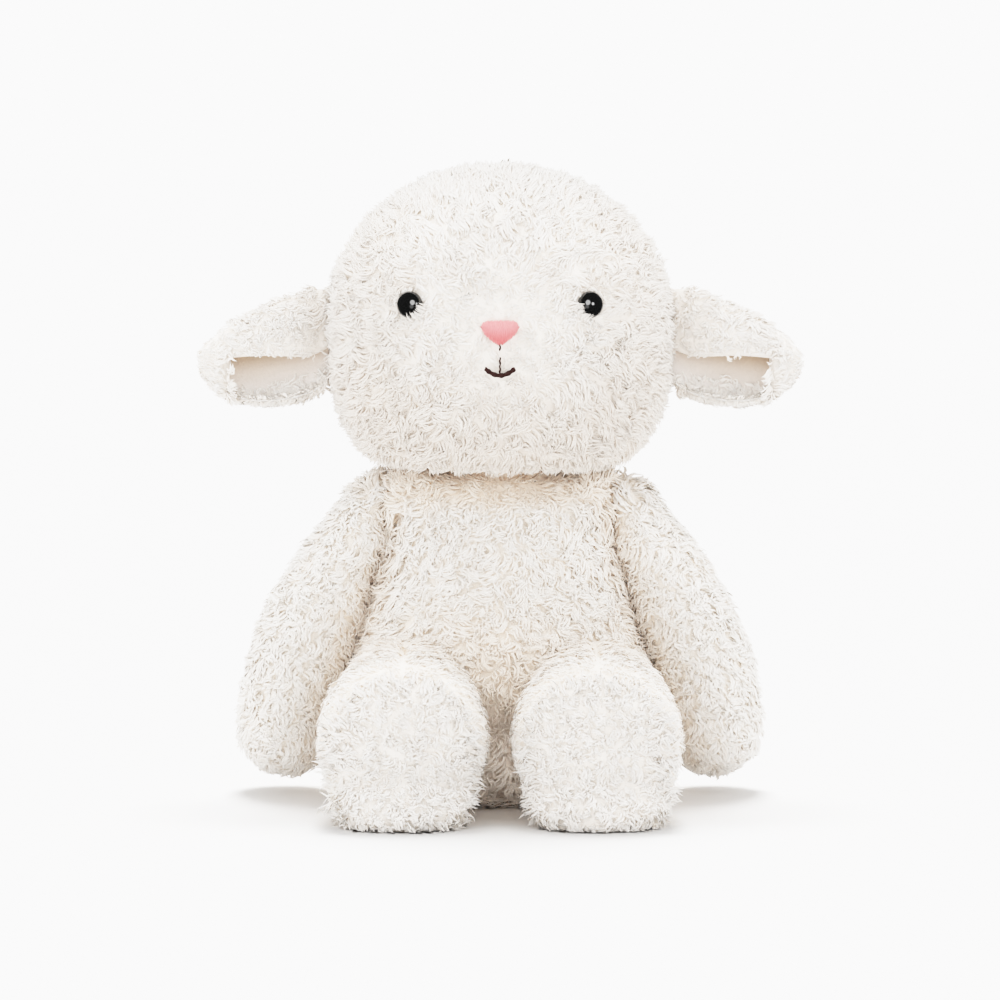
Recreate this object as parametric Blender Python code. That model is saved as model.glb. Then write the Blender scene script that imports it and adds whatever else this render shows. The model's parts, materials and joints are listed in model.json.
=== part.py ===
"""Plush sheep that sits with its legs forward: pile fabric covers over stuffing, sewn on at the neck,
shoulders, hips and ears. Metres, +Z up, the face towards -Y, and left is the sheep's own left, +X."""

import math

import bmesh
import bpy
import numpy as np
from mathutils import Matrix, Vector

# Cloth, thread and clearances
CLOTH = 0.003
SEAM_GAP = 0.0003
FILL_GAP = 0.0003
THREAD_RADIUS = 0.00075
OVERRUN = 0.02
MERGE = 1e-6
FLAT_DEPTH = 0.0005

# Torso, whose hips are an ellipsoid of revolution about the hip axis
HIP_HALF_WIDTH = 0.060
HIP_RADIUS = 0.046
HIP_GAP = 0.0006
HIP_HEIGHT = HIP_RADIUS - FLAT_DEPTH
HIP_SIDES = 36
TORSO_HEIGHT = 0.1275
PELLET_DEPTH = 0.024
TORSO_SIDES = 26
# height above the hips of what is left of TORSO_HEIGHT, width of HIP_HALF_WIDTH, depth of HIP_RADIUS
TORSO_SHARES = (
    (0.000, 1.000, 1.000),
    (0.140, 0.962, 0.950),
    (0.299, 0.858, 0.775),
    (0.471, 0.803, 0.730),
    (0.664, 0.753, 0.730),
    (0.824, 0.738, 0.725),
    (0.921, 0.690, 0.700),
    (0.978, 0.600, 0.650),
    (1.000, 0.520, 0.570),
)

# Neck
NECK_RISE = 0.0035
NECK_HEIGHT = TORSO_HEIGHT + NECK_RISE
NECK_RADIUS = 0.025
NECK_HALF_HEIGHT = 0.012
NECK_GAP = 0.0007
NECK_HOLE_RADIUS = NECK_RADIUS + NECK_GAP
NECK_SIDES = 22

# Head, an ellipsoid above its middle and a fuller cheek below it, a jaw gap over the torso
HEAD_HALF_WIDTH = 0.066
HEAD_HALF_DEPTH = 0.058
HEAD_CROWN = 0.057
HEAD_FALL = 0.0594
CHEEK_POWER = 3.0
HEAD_Y = -0.004
JAW_GAP = 0.0041
JAW_ROUND = 0.0056
JAW_HEIGHT = TORSO_HEIGHT + JAW_GAP
HEAD_HEIGHT = JAW_HEIGHT + HEAD_FALL
# how far down the full cheek curve the jaw lies
CHEEK_SHARE = 0.874
HEAD_SIDES = 28
GUSSET_HALF_WIDTH = 0.017
# width of the head's own, height of JAW_ROUND
JAW_SHARES = (
    (0.400, 0.00),
    (0.550, 0.05),
    (0.665, 0.27),
    (0.742, 0.60),
)

# Eyes and their washers
EYE_X = 0.0344
EYE_RISE = 0.0054
EYE_HEIGHT = HEAD_HEIGHT + EYE_RISE
EYE_RADIUS = 0.0045
EYE_DOME = 0.0030
EYE_POST_RADIUS = 0.0015
EYE_POST_LENGTH = 0.0085
WASHER_RADIUS = 0.0062
WASHER_THICKNESS = 0.0012
WASHER_SEAT = 0.0010
EYE_SIDES = 16

# Nose and mouth embroidery
NOSE_DROP = 0.005
NOSE_HEIGHT = HEAD_HEIGHT - NOSE_DROP
NOSE_HALF_WIDTH = 0.00705
NOSE_TALL = 0.0095
NOSE_THICKNESS = 0.0012
# across of NOSE_HALF_WIDTH, up of NOSE_TALL
NOSE_SHARES = (
    (0.00, -0.50),
    (0.22, -0.44),
    (0.62, -0.08),
    (0.93, 0.22),
    (1.00, 0.36),
    (0.90, 0.45),
    (0.50, 0.49),
    (0.00, 0.50),
)
MOUTH_GAP = 0.00075
MOUTH_TOP = NOSE_HEIGHT - NOSE_TALL / 2 - MOUTH_GAP
MOUTH_LINE = 0.0089
MOUTH_BOTTOM = MOUTH_TOP - MOUTH_LINE
SMILE_DROP = 0.0019
SMILE_HEIGHT = MOUTH_BOTTOM - SMILE_DROP
SMILE_RISE = 0.0027
SMILE_HALF_WIDTH = 0.0057

# Ears, a furred roll open to the front with a smooth lining
EAR_LENGTH = 0.0525
EAR_HALF_HEIGHT = 0.0185
EAR_HALF_DEPTH = 0.009
EAR_DROOP = 0.0097
EAR_DROP = 0.010
EAR_HEIGHT = HEAD_HEIGHT - EAR_DROP
EAR_ROOT_ROUND = 0.0035
LINING = 0.0010
LINING_GAP = 0.0006
# along EAR_LENGTH, drop of EAR_DROOP, height of EAR_HALF_HEIGHT, depth of EAR_HALF_DEPTH
EAR_SHARES = (
    (0.000, 0.00, 0.81, 0.13),
    (0.023, 0.06, 0.88, 0.29),
    (0.067, 0.19, 0.95, 0.39),
    (0.171, 0.46, 1.02, 0.61),
    (0.362, 0.72, 1.00, 0.94),
    (0.571, 0.93, 0.94, 1.00),
    (0.762, 1.00, 0.78, 0.89),
    (0.886, 1.00, 0.58, 0.67),
    (0.962, 0.95, 0.36, 0.42),
    (1.000, 0.91, 0.16, 0.20),
)
LINING_STATIONS = (2, 9)
EAR_HOLLOW_SHARES = (0.80, 0.50)
EAR_WRAP = (math.radians(-8), math.radians(235))
LINING_WRAP = (math.radians(40), math.radians(286))
LIP_START = math.radians(241)
LIP_TURN = math.radians(20)
WRAP_STEPS = 13

# Arms, lofted between an inner and an outer line from a flat shoulder seam to the paw
SHOULDER_X = 0.0448
SHOULDER_DROP = 0.0145
SHOULDER_HEIGHT = TORSO_HEIGHT - SHOULDER_DROP
SHOULDER_RADIUS = 0.0145
ARM_OUT = 0.058
ARM_DROP = 0.086
ARM_HALF_DEPTH = 0.019
PAW_DOME = 0.0184
ARM_SIDES = 18
# inner out and drop, outer out and drop, of ARM_OUT and ARM_DROP, then depth of ARM_HALF_DEPTH
ARM_SHARES = (
    (0.052, 0.215, 0.138, -0.128, 0.79),
    (0.082, 0.275, 0.319, -0.006, 0.84),
    (0.118, 0.384, 0.603, 0.221, 0.92),
    (0.169, 0.535, 0.802, 0.453, 0.97),
    (0.262, 0.686, 0.922, 0.674, 1.00),
    (0.345, 0.826, 0.983, 0.872, 1.00),
    (0.393, 0.965, 1.000, 1.035, 0.95),
)

# Legs, turned round an axis that drops from the hip to the foot
LEG_X = 0.037
FOOT_REACH = 0.080
FOOT_RADIUS = 0.0323
SOLE_DOME = 0.021
SOLE_POWER = 2.5
SOLE_SEAM = 0.012
LEG_SIDES = 24
# along FOOT_REACH, radius of FOOT_RADIUS
LEG_SHARES = (
    (0.10, 0.50),
    (0.20, 0.66),
    (0.34, 0.74),
    (0.55, 0.79),
    (0.78, 0.90),
    (1.00, 1.00),
)
# the droop that brings the foot as low as the hips, both before their flats are cut
LEG_DROOP = math.asin(HIP_RADIUS / math.hypot(FOOT_REACH, FOOT_RADIUS)) - math.atan2(
    FOOT_RADIUS, FOOT_REACH
)

# Tail
TAIL_HALF_WIDTH = 0.0105
TAIL_HALF_DEPTH = 0.010
TAIL_HALF_HEIGHT = 0.012
TAIL_Y = 0.048
TAIL_HEIGHT = 0.050

# Hinge ranges, in degrees
HEAD_TURN = (-30, 30)
HEAD_NOD = (-8, 8)
EAR_SWING = (-30, 30)
ARM_SWING = (-40, 95)
LEG_SWING = (-10, 85)

# Colours and roughness
WHITE_PILE = ((0.90, 0.87, 0.83), 0.95)
CREAM_PILE = ((0.87, 0.83, 0.77), 0.95)
LINING_CLOTH = ((0.85, 0.76, 0.68), 0.80)
FIBREFILL = ((0.93, 0.93, 0.92), 0.95)
PELLET_CLOTH = ((0.80, 0.74, 0.64), 0.85)
EYE_BLACK = ((0.010, 0.009, 0.010), 0.08)
WASHER_PLASTIC = ((0.86, 0.86, 0.84), 0.45)
NOSE_THREAD = ((0.86, 0.62, 0.62), 0.45)
MOUTH_THREAD = ((0.11, 0.06, 0.045), 0.60)


def material(name, look):
    colour, roughness = look
    made = bpy.data.materials.new(name)
    made.use_nodes = True
    shader = made.node_tree.nodes["Principled BSDF"]
    shader.inputs["Base Color"].default_value = (*colour, 1)
    shader.inputs["Roughness"].default_value = roughness
    shader.inputs["Metallic"].default_value = 0
    made.diffuse_color = (*colour, 1)
    return made


def object_from(bm, name):
    """Makes an object of the bmesh, with its faces turned outwards."""
    bmesh.ops.recalc_face_normals(bm, faces=bm.faces)
    mesh = bpy.data.meshes.new(name)
    bm.to_mesh(mesh)
    bm.free()
    made = bpy.data.objects.new(name, mesh)
    bpy.context.scene.collection.objects.link(made)
    return made


def loft(name, rings):
    """A closed solid whose skin bridges the rings in order, with a flat cap on the first and the last."""
    bm = bmesh.new()
    loops = []
    for ring in rings:
        corners = [bm.verts.new(point) for point in ring]
        loops.append([bm.edges.new(pair) for pair in zip(corners, corners[1:] + corners[:1])])
    for low, high in zip(loops, loops[1:]):
        bmesh.ops.bridge_loops(bm, edges=low + high)
    for end in (loops[0], loops[-1]):
        bmesh.ops.edgeloop_fill(bm, edges=end)
    return object_from(bm, name)


def turned(name, profile, sides, place=Matrix()):
    """Spins a profile of (radius, height) round +Z. An open profile starts and ends on the axis."""
    bm = bmesh.new()
    corners = [bm.verts.new((radius, 0, height)) for radius, height in profile]
    ends = list(zip(corners, corners[1:]))
    if profile[0][0] > 0:
        ends.append((corners[-1], corners[0]))
    edges = [bm.edges.new(pair) for pair in ends]
    bmesh.ops.spin(
        bm,
        geom=corners + edges,
        cent=(0, 0, 0),
        axis=(0, 0, 1),
        angle=math.tau,
        steps=sides,
        use_merge=True,
    )
    bmesh.ops.remove_doubles(bm, verts=bm.verts, dist=MERGE)
    bmesh.ops.transform(bm, matrix=place, verts=bm.verts)
    return object_from(bm, name)


def ball(name, centre, radii, sides):
    bm = bmesh.new()
    bmesh.ops.create_uvsphere(bm, u_segments=sides, v_segments=sides // 2, radius=1)
    # The poles lie on the X axis, so that a turn about X brings like rings to like rings.
    turn = Matrix.Rotation(math.pi / 2, 4, "Y")
    place = Matrix.Translation(centre) @ Matrix.Diagonal((*radii, 1)) @ turn
    bmesh.ops.transform(bm, matrix=place, verts=bm.verts)
    return object_from(bm, name)


def box(name, low, high):
    bm = bmesh.new()
    bmesh.ops.create_cube(bm, size=1)
    low, high = Vector(low), Vector(high)
    place = Matrix.Translation((low + high) / 2) @ Matrix.Diagonal((*(high - low), 1))
    bmesh.ops.transform(bm, matrix=place, verts=bm.verts)
    return object_from(bm, name)


def copy_of(solid, name):
    made = bpy.data.objects.new(name, solid.data.copy())
    bpy.context.scene.collection.objects.link(made)
    return made


def mirrored(solid, name):
    """The solid's mirror image across the middle plane."""
    made = copy_of(solid, name)
    bm = bmesh.new()
    bm.from_mesh(made.data)
    bmesh.ops.scale(bm, vec=(-1, 1, 1), verts=bm.verts)
    bmesh.ops.reverse_faces(bm, faces=bm.faces)
    bm.to_mesh(made.data)
    bm.free()
    return made


def drop(tool):
    mesh = tool.data
    bpy.data.objects.remove(tool)
    bpy.data.meshes.remove(mesh)


def combine(solid, tool, operation="DIFFERENCE", keep_tool=False):
    """Applies an exact Boolean of the tool to the solid."""
    step = solid.modifiers.new(operation.title(), "BOOLEAN")
    step.operation = operation
    step.solver = "EXACT"
    step.object = tool
    graph = bpy.context.evaluated_depsgraph_get()
    result = bpy.data.meshes.new_from_object(solid.evaluated_get(graph))
    solid.modifiers.clear()
    old = solid.data
    solid.data = result
    bpy.data.meshes.remove(old)
    if not keep_tool:
        drop(tool)
    return solid


def shrunk(solid, name, depth):
    """A copy of the solid whose skin lies this far inside."""
    made = copy_of(solid, name)
    bm = bmesh.new()
    bm.from_mesh(made.data)
    bm.normal_update()
    moves = [vert.normal * depth for vert in bm.verts]
    for vert, move in zip(bm.verts, moves):
        vert.co -= move
    bm.to_mesh(made.data)
    bm.free()
    return made


def around(sides):
    return [math.tau * k / sides for k in range(sides)]


def level_ring(half_width, half_depth, height, sides, middle_y=0.0):
    return [
        Vector((half_width * math.cos(t), middle_y + half_depth * math.sin(t), height))
        for t in around(sides)
    ]


def torso_form():
    """The torso's outside: the hip ellipsoid up from the flat seat, then the stations above it."""
    levels = []
    seat_angle = -math.asin(HIP_HEIGHT / HIP_RADIUS)
    hip_steps = 6
    for k in range(hip_steps):
        angle = seat_angle * (1 - k / hip_steps)
        levels.append(
            (
                HIP_HEIGHT + HIP_RADIUS * math.sin(angle),
                HIP_HALF_WIDTH * math.cos(angle),
                HIP_RADIUS * math.cos(angle),
            )
        )
    rise = TORSO_HEIGHT - HIP_HEIGHT
    levels += [
        (HIP_HEIGHT + rise * up, HIP_HALF_WIDTH * wide, HIP_RADIUS * deep)
        for up, wide, deep in TORSO_SHARES
    ]
    rings = [level_ring(wide, deep, height, TORSO_SIDES) for height, wide, deep in levels]
    return loft("torso_form", rings)


def hip_cutter():
    """The space that the hips and the legs' turning on them take up."""
    radii = (HIP_HALF_WIDTH + HIP_GAP, HIP_RADIUS + HIP_GAP, HIP_RADIUS + HIP_GAP)
    return ball("hip_cutter", (0, 0, HIP_HEIGHT), radii, HIP_SIDES)


def neck_ball(name, radius):
    return ball(name, (0, 0, NECK_HEIGHT), (radius, radius, radius), NECK_SIDES)


def upright_cylinder(name, radius, low, high, sides):
    return turned(name, ((0, low), (radius, low), (radius, high), (0, high)), sides)


def neck_hole():
    low, high = NECK_HEIGHT - OVERRUN, NECK_HEIGHT + OVERRUN
    return upright_cylinder("neck_hole", NECK_HOLE_RADIUS, low, high, NECK_SIDES)


def shoulder_seat():
    """A disc that flattens the torso's side where the arm is sewn on."""
    radius = SHOULDER_RADIUS + SEAM_GAP * 2
    seat = upright_cylinder("shoulder_seat", radius, 0, OVERRUN, 32)
    turn = Matrix.Rotation(math.pi / 2, 4, "Y")
    seat.data.transform(Matrix.Translation((SHOULDER_X, 0, SHOULDER_HEIGHT)) @ turn)
    return seat


def halves(shell, names, reach):
    """Splits a shell at the middle plane into its left and right panels."""
    parts = []
    for side, name in zip((1, -1), names):
        x_low, x_high = sorted((side * SEAM_GAP / 2, side * reach))
        keep = box("keep", (x_low, -reach, -reach), (x_high, reach, 2 * reach))
        parts.append(combine(copy_of(shell, name), keep, "INTERSECT"))
    drop(shell)
    return parts


def make_torso():
    form = torso_form()
    shell = copy_of(form, "torso_shell")
    combine(shell, shrunk(form, "torso_hollow", CLOTH))
    combine(shell, neck_hole())
    seat = shoulder_seat()
    combine(shell, mirrored(seat, "right_seat"))
    combine(shell, seat)
    left, right = halves(shell, ("body_left_cover", "body_right_cover"), TORSO_HEIGHT)
    fill = shrunk(form, "body_stuffing", CLOTH + FILL_GAP)
    combine(fill, neck_ball("neck_socket", NECK_RADIUS + NECK_GAP))
    reach = TORSO_HEIGHT
    pellets = copy_of(fill, "pellet_bag")
    low_box = box("low_box", (-reach, -reach, -reach), (reach, reach, PELLET_DEPTH))
    combine(pellets, low_box, "INTERSECT")
    top = PELLET_DEPTH + FILL_GAP
    combine(fill, box("high_box", (-reach, -reach, top), (reach, reach, 2 * reach)), "INTERSECT")
    drop(form)
    cream, stuffing, linen = MATERIALS["cream_pile"], MATERIALS["fibrefill"], MATERIALS["pellet_cloth"]
    return [(left, cream), (right, cream), (fill, stuffing), (pellets, linen)]


def make_neck():
    """The neck's cover, a zone of a sphere that the head and the torso close on, round its stuffing."""
    lean = math.asin(NECK_HALF_HEIGHT / NECK_RADIUS)
    angles = np.linspace(-lean, lean, 5)
    outside = [(NECK_RADIUS * math.cos(a), NECK_RADIUS * math.sin(a)) for a in angles]
    thick = (NECK_RADIUS - CLOTH) / NECK_RADIUS
    inside = [(radius * thick, height * thick) for radius, height in outside[::-1]]
    place = Matrix.Translation((0, 0, NECK_HEIGHT))
    cover = turned("neck_cover", outside + inside, NECK_SIDES, place)
    fill = neck_ball("neck_stuffing", NECK_RADIUS - CLOTH - NECK_GAP)
    return [(cover, MATERIALS["cream_pile"]), (fill, MATERIALS["fibrefill"])]


def make_tail():
    centre = (0, TAIL_Y, TAIL_HEIGHT)
    tail = ball("tail", centre, (TAIL_HALF_WIDTH, TAIL_HALF_DEPTH, TAIL_HALF_HEIGHT), 16)
    combine(tail, hip_cutter())
    return [(tail, MATERIALS["cream_pile"])]


def cheek_share(below):
    """The head's width this far below its middle, as a share of its full width."""
    return (1 - (CHEEK_SHARE * below / HEAD_FALL) ** CHEEK_POWER) ** (1 / CHEEK_POWER)


def head_levels():
    """Pairs of (height, share of the head's width) from the jaw to the crown."""
    levels = [(JAW_HEIGHT + up * JAW_ROUND, share) for share, up in JAW_SHARES]
    cheek_steps, crown_steps = 5, 8
    fall = HEAD_FALL - JAW_ROUND
    for k in range(cheek_steps):
        below = fall * (1 - k / cheek_steps) ** 0.85
        levels.append((HEAD_HEIGHT - below, cheek_share(below)))
    for k in range(crown_steps):
        angle = math.radians(85) * k / (crown_steps - 1)
        levels.append((HEAD_HEIGHT + HEAD_CROWN * math.sin(angle), math.cos(angle)))
    return levels


def head_form():
    rings = [
        level_ring(HEAD_HALF_WIDTH * share, HEAD_HALF_DEPTH * share, height, HEAD_SIDES, HEAD_Y)
        for height, share in head_levels()
    ]
    return loft("head_form", rings)


def face_y(x, height):
    """Where the face's surface lies, seen from the front."""
    away = height - HEAD_HEIGHT
    if away > 0:
        share = math.sqrt(1 - (away / HEAD_CROWN) ** 2)
    else:
        share = cheek_share(-away)
    return HEAD_Y - HEAD_HALF_DEPTH * math.sqrt(share**2 - (x / HEAD_HALF_WIDTH) ** 2)


def eye_place():
    """The left eye's seat, with +Z out of the face."""
    spot = Vector((EYE_X, face_y(EYE_X, EYE_HEIGHT), EYE_HEIGHT))
    outward = Vector(
        (
            spot.x / HEAD_HALF_WIDTH**2,
            (spot.y - HEAD_Y) / HEAD_HALF_DEPTH**2,
            (spot.z - HEAD_HEIGHT) / HEAD_CROWN**2,
        )
    )
    return Matrix.Translation(spot) @ outward.to_track_quat("Z", "Y").to_matrix().to_4x4()


def eye_cylinder(name, radius, low, high):
    made = upright_cylinder(name, radius, low, high, EYE_SIDES)
    made.data.transform(eye_place())
    return made


def make_eye():
    """The left eye, a domed button on a post, and the washer that holds it behind the cover."""
    ball_radius = (EYE_RADIUS**2 + EYE_DOME**2) / (2 * EYE_DOME)
    half_angle = math.asin(EYE_RADIUS / ball_radius)
    profile = [(0, -EYE_POST_LENGTH), (EYE_POST_RADIUS, -EYE_POST_LENGTH), (EYE_POST_RADIUS, SEAM_GAP)]
    steps = 5
    for k in range(steps):
        angle = half_angle * (1 - k / steps)
        height = SEAM_GAP + EYE_DOME - ball_radius * (1 - math.cos(angle))
        profile.append((ball_radius * math.sin(angle), height))
    profile.append((0, SEAM_GAP + EYE_DOME))
    eye = turned("eye_left", profile, EYE_SIDES, eye_place())
    hole = EYE_POST_RADIUS + SEAM_GAP
    near = -CLOTH - WASHER_SEAT
    far = near - WASHER_THICKNESS
    ring = [(WASHER_RADIUS, near), (WASHER_RADIUS, far), (hole, far), (hole, near)]
    washer = turned("eye_washer_left", ring, EYE_SIDES, eye_place())
    return eye, washer


def gusset_block(name, grow):
    """A block that holds the gusset: from the nose over the crown and down to the back of the neck."""
    reach = HEAD_HEIGHT
    half = GUSSET_HALF_WIDTH + grow
    low = NOSE_HEIGHT - grow
    outline = (
        (-reach, low),
        (-reach, 2 * reach),
        (reach, 2 * reach),
        (reach, 0),
        (-grow, 0),
        (-grow, low),
    )
    bm = bmesh.new()
    face = bm.faces.new([bm.verts.new((-half, y, z)) for y, z in outline])
    grown = bmesh.ops.extrude_face_region(bm, geom=[face])
    moved = [item for item in grown["geom"] if isinstance(item, bmesh.types.BMVert)]
    bmesh.ops.translate(bm, vec=(2 * half, 0, 0), verts=moved)
    return object_from(bm, name)


def make_head():
    form = head_form()
    shell = copy_of(form, "head_shell")
    combine(shell, shrunk(form, "head_hollow", CLOTH))
    combine(shell, neck_hole())
    post_hole = eye_cylinder("post_hole", EYE_POST_RADIUS + SEAM_GAP, -CLOTH * 2, CLOTH)
    combine(shell, mirrored(post_hole, "right_hole"))
    combine(shell, post_hole)
    gusset = combine(copy_of(shell, "head_gusset"), gusset_block("gusset_block", 0), "INTERSECT")
    combine(shell, gusset_block("gusset_space", SEAM_GAP))
    left, right = halves(shell, ("head_left_cover", "head_right_cover"), HEAD_HEIGHT)
    fill = shrunk(form, "head_stuffing", CLOTH + FILL_GAP)
    combine(fill, neck_ball("head_socket", NECK_RADIUS + NECK_GAP))
    deep = EYE_POST_LENGTH + FILL_GAP * 2
    recess = eye_cylinder("eye_recess", WASHER_RADIUS + FILL_GAP * 2, -deep, 0)
    combine(fill, mirrored(recess, "right_recess"))
    combine(fill, recess)
    drop(form)
    eye, washer = make_eye()
    white, stuffing = MATERIALS["white_pile"], MATERIALS["fibrefill"]
    black, plastic = MATERIALS["eye_black"], MATERIALS["washer_plastic"]
    return [
        (left, white),
        (right, white),
        (gusset, white),
        (fill, stuffing),
        (eye, black),
        (mirrored(eye, "eye_right"), black),
        (washer, plastic),
        (mirrored(washer, "eye_washer_right"), plastic),
    ]


def make_nose():
    """A padded satin-stitch patch on the tip of the gusset, its back on the curve of the face."""
    right = [(-across, up) for across, up in reversed(NOSE_SHARES[1:-1])]
    outline = list(NOSE_SHARES) + right
    centre = np.mean(outline, axis=0)
    rings = []
    for inward_share, out_share in ((1.0, 0.0), (1.0, 0.45), (0.86, 0.80), (0.55, 1.0)):
        ring = []
        for share in outline:
            across, up = centre + (np.array(share) - centre) * inward_share
            x, z = across * NOSE_HALF_WIDTH, NOSE_HEIGHT + up * NOSE_TALL
            out = SEAM_GAP + NOSE_THICKNESS * out_share
            ring.append(Vector((x, face_y(x, z) - out, z)))
        rings.append(ring)
    return [(loft("nose_patch", rings), MATERIALS["nose_thread"])]


def thread(name, points):
    """A round thread along the points, as a curve with a bevel."""
    curve = bpy.data.curves.new(name, "CURVE")
    curve.dimensions = "3D"
    curve.bevel_depth = THREAD_RADIUS
    curve.bevel_resolution = 2
    curve.use_fill_caps = True
    line = curve.splines.new("POLY")
    line.points.add(len(points) - 1)
    for spot, point in zip(line.points, points):
        spot.co = (*point, 1)
    made = bpy.data.objects.new(name, curve)
    bpy.context.scene.collection.objects.link(made)
    return made


def on_face(x, height):
    """The middle of a thread that lies on the face."""
    return Vector((x, face_y(x, height) - SEAM_GAP * 2 - THREAD_RADIUS, height))


def make_mouth():
    line_steps, smile_steps = 5, 10
    heights = np.linspace(MOUTH_TOP, MOUTH_BOTTOM, line_steps)
    line = thread("mouth_line_stitch", [on_face(0, height) for height in heights])
    smile = thread(
        "smile_stitch",
        [
            on_face(SMILE_HALF_WIDTH * t, SMILE_HEIGHT + SMILE_RISE * t**2)
            for t in np.linspace(-1, 1, smile_steps + 1)
        ],
    )
    return [(line, MATERIALS["mouth_thread"]), (smile, MATERIALS["mouth_thread"])]


def ear_station(share):
    along, sink, tall, deep = share
    return (
        HEAD_HALF_WIDTH + SEAM_GAP + along * EAR_LENGTH,
        EAR_HEIGHT - sink * EAR_DROOP,
        tall * EAR_HALF_HEIGHT,
        deep * EAR_HALF_DEPTH,
    )


def ear_point(station, angle, tall_share, deep_share, inset=0.0):
    """A point of the ear's section, the angle running from the front over the top to the back."""
    x, middle, tall, deep = station
    forward = (deep * deep_share - inset) * math.cos(angle)
    return Vector((x, HEAD_Y - forward, middle + (tall * tall_share - inset) * math.sin(angle)))


def make_ear():
    hollow_tall, hollow_deep = EAR_HOLLOW_SHARES
    rings = []
    for share in EAR_SHARES:
        station = ear_station(share)
        wrap = np.linspace(*EAR_WRAP, WRAP_STEPS)
        outside = [ear_point(station, angle, 1, 1) for angle in wrap]
        inside = [ear_point(station, angle, hollow_tall, hollow_deep) for angle in wrap[::-1]]
        rings.append(outside + inside)
    outer = loft("ear_left_outer", rings)
    rings = []
    first, last = LINING_STATIONS
    for share in EAR_SHARES[first:last]:
        station = ear_station(share)
        wrap = np.linspace(*LINING_WRAP, WRAP_STEPS + 1)
        faces = []
        for inset in (LINING_GAP, LINING_GAP + LINING):
            arc = []
            for angle in wrap:
                turn = min(max((angle - LIP_START) / LIP_TURN, 0), 1)
                lip = turn * turn * (3 - 2 * turn)
                tall = hollow_tall + (1 - hollow_tall) * lip
                deep = hollow_deep + (1 - hollow_deep) * lip
                arc.append(ear_point(station, angle, tall, deep, inset))
            faces.append(arc)
        rings.append(faces[0] + faces[1][::-1])
    lining = loft("ear_left_lining", rings)
    return [(outer, MATERIALS["white_pile"]), (lining, MATERIALS["lining_cloth"])]


def arm_rings(inset, root):
    """The arm's rings inside its skin by the inset, from this far along the shoulder axis to the paw."""
    out, sink, deep = ARM_OUT, ARM_DROP, ARM_HALF_DEPTH
    radius = SHOULDER_RADIUS
    start = SEAM_GAP
    seam = (start / out, radius / sink, start / out, -radius / sink, radius / deep)
    rows = [np.array(row) * (out, sink, out, sink, deep) for row in (seam,) + ARM_SHARES]
    sections = []
    for inner_out, inner_drop, outer_out, outer_drop, depth in rows:
        inner = Vector((SHOULDER_X + inner_out, 0, SHOULDER_HEIGHT - inner_drop))
        outer = Vector((SHOULDER_X + outer_out, 0, SHOULDER_HEIGHT - outer_drop))
        half = (outer - inner) / 2
        sections.append(((inner + outer) / 2, half.normalized() * (half.length - inset), depth - inset))
    middle, half, depth = sections[0]
    if root:
        sections.insert(0, (middle - Vector((root, 0, 0)), half, depth))
    middle, half, depth = sections[-1]
    downward = Vector((0, 1, 0)).cross(half).normalized()
    for angle in (0.42, 0.80, 1.12, 1.40):
        shift = downward * (PAW_DOME - inset) * math.sin(angle)
        sections.append((middle + shift, half * math.cos(angle), depth * math.cos(angle)))
    return [
        [
            middle + half * math.cos(t) + Vector((0, depth * math.sin(t), 0))
            for t in around(ARM_SIDES)
        ]
        for middle, half, depth in sections
    ]


def make_arm():
    cover = loft("arm_left_cover", arm_rings(0, 0))
    combine(cover, loft("arm_hollow", arm_rings(CLOTH, CLOTH)))
    fill = loft("arm_left_stuffing", arm_rings(CLOTH + FILL_GAP, 0))
    return [(cover, MATERIALS["cream_pile"]), (fill, MATERIALS["fibrefill"])]


def leg_profile(inset):
    """Pairs of (distance from the hip, radius) from the hip to the sole."""
    sizes = np.array((FOOT_REACH, FOOT_RADIUS))
    pairs = [(along, radius - inset) for along, radius in sizes * LEG_SHARES]
    for angle in (0.35, 0.70, 1.00, 1.22, 1.42):
        along = FOOT_REACH + (SOLE_DOME - inset) * math.sin(angle) ** (2 / SOLE_POWER)
        pairs.append((along, (FOOT_RADIUS - inset) * math.cos(angle) ** (2 / SOLE_POWER)))
    return pairs


def leg_place():
    """The leg's frame at the hip axis, with +Z towards the sole."""
    turn = Matrix.Rotation(math.pi / 2 + LEG_DROOP, 4, "X")
    return Matrix.Translation((LEG_X, 0, HIP_HEIGHT)) @ turn


def leg_form(name, inset):
    rings = [
        [leg_place() @ point for point in level_ring(radius, radius, along, LEG_SIDES)]
        for along, radius in leg_profile(inset)
    ]
    return loft(name, rings)


def foot_flat(solid):
    """Cuts the foot flat where it stands on the floor."""
    reach = FOOT_REACH * 2
    combine(solid, box("floor", (-reach, -reach, -reach), (reach, reach, 0)))


def sole_block(name, low, high):
    """A block square to the leg between two distances from the hip."""
    reach = FOOT_RADIUS * 2
    made = box(name, (-reach, -reach, low), (reach, reach, high))
    made.data.transform(leg_place())
    return made


def make_leg():
    shell = leg_form("leg_shell", 0)
    foot_flat(shell)
    combine(shell, leg_form("leg_hollow", CLOTH))
    combine(shell, hip_cutter())
    seam = FOOT_REACH + SOLE_SEAM
    far = FOOT_REACH + 2 * SOLE_DOME
    sole = combine(copy_of(shell, "foot_sole_left"), sole_block("sole", seam, far), "INTERSECT")
    cover = combine(shell, sole_block("past_seam", seam - SEAM_GAP, far))
    cover.name = "leg_left_cover"
    fill = leg_form("leg_left_stuffing", CLOTH + FILL_GAP)
    combine(fill, hip_cutter())
    return [
        (cover, MATERIALS["cream_pile"]),
        (sole, MATERIALS["white_pile"]),
        (fill, MATERIALS["fibrefill"]),
    ]


def front_reach():
    """How far the foremost edge of the soles lies in front of the hip axis."""
    lean = math.sin(LEG_DROOP)
    return max(along * math.cos(LEG_DROOP) + radius * lean for along, radius in leg_profile(0))


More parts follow.
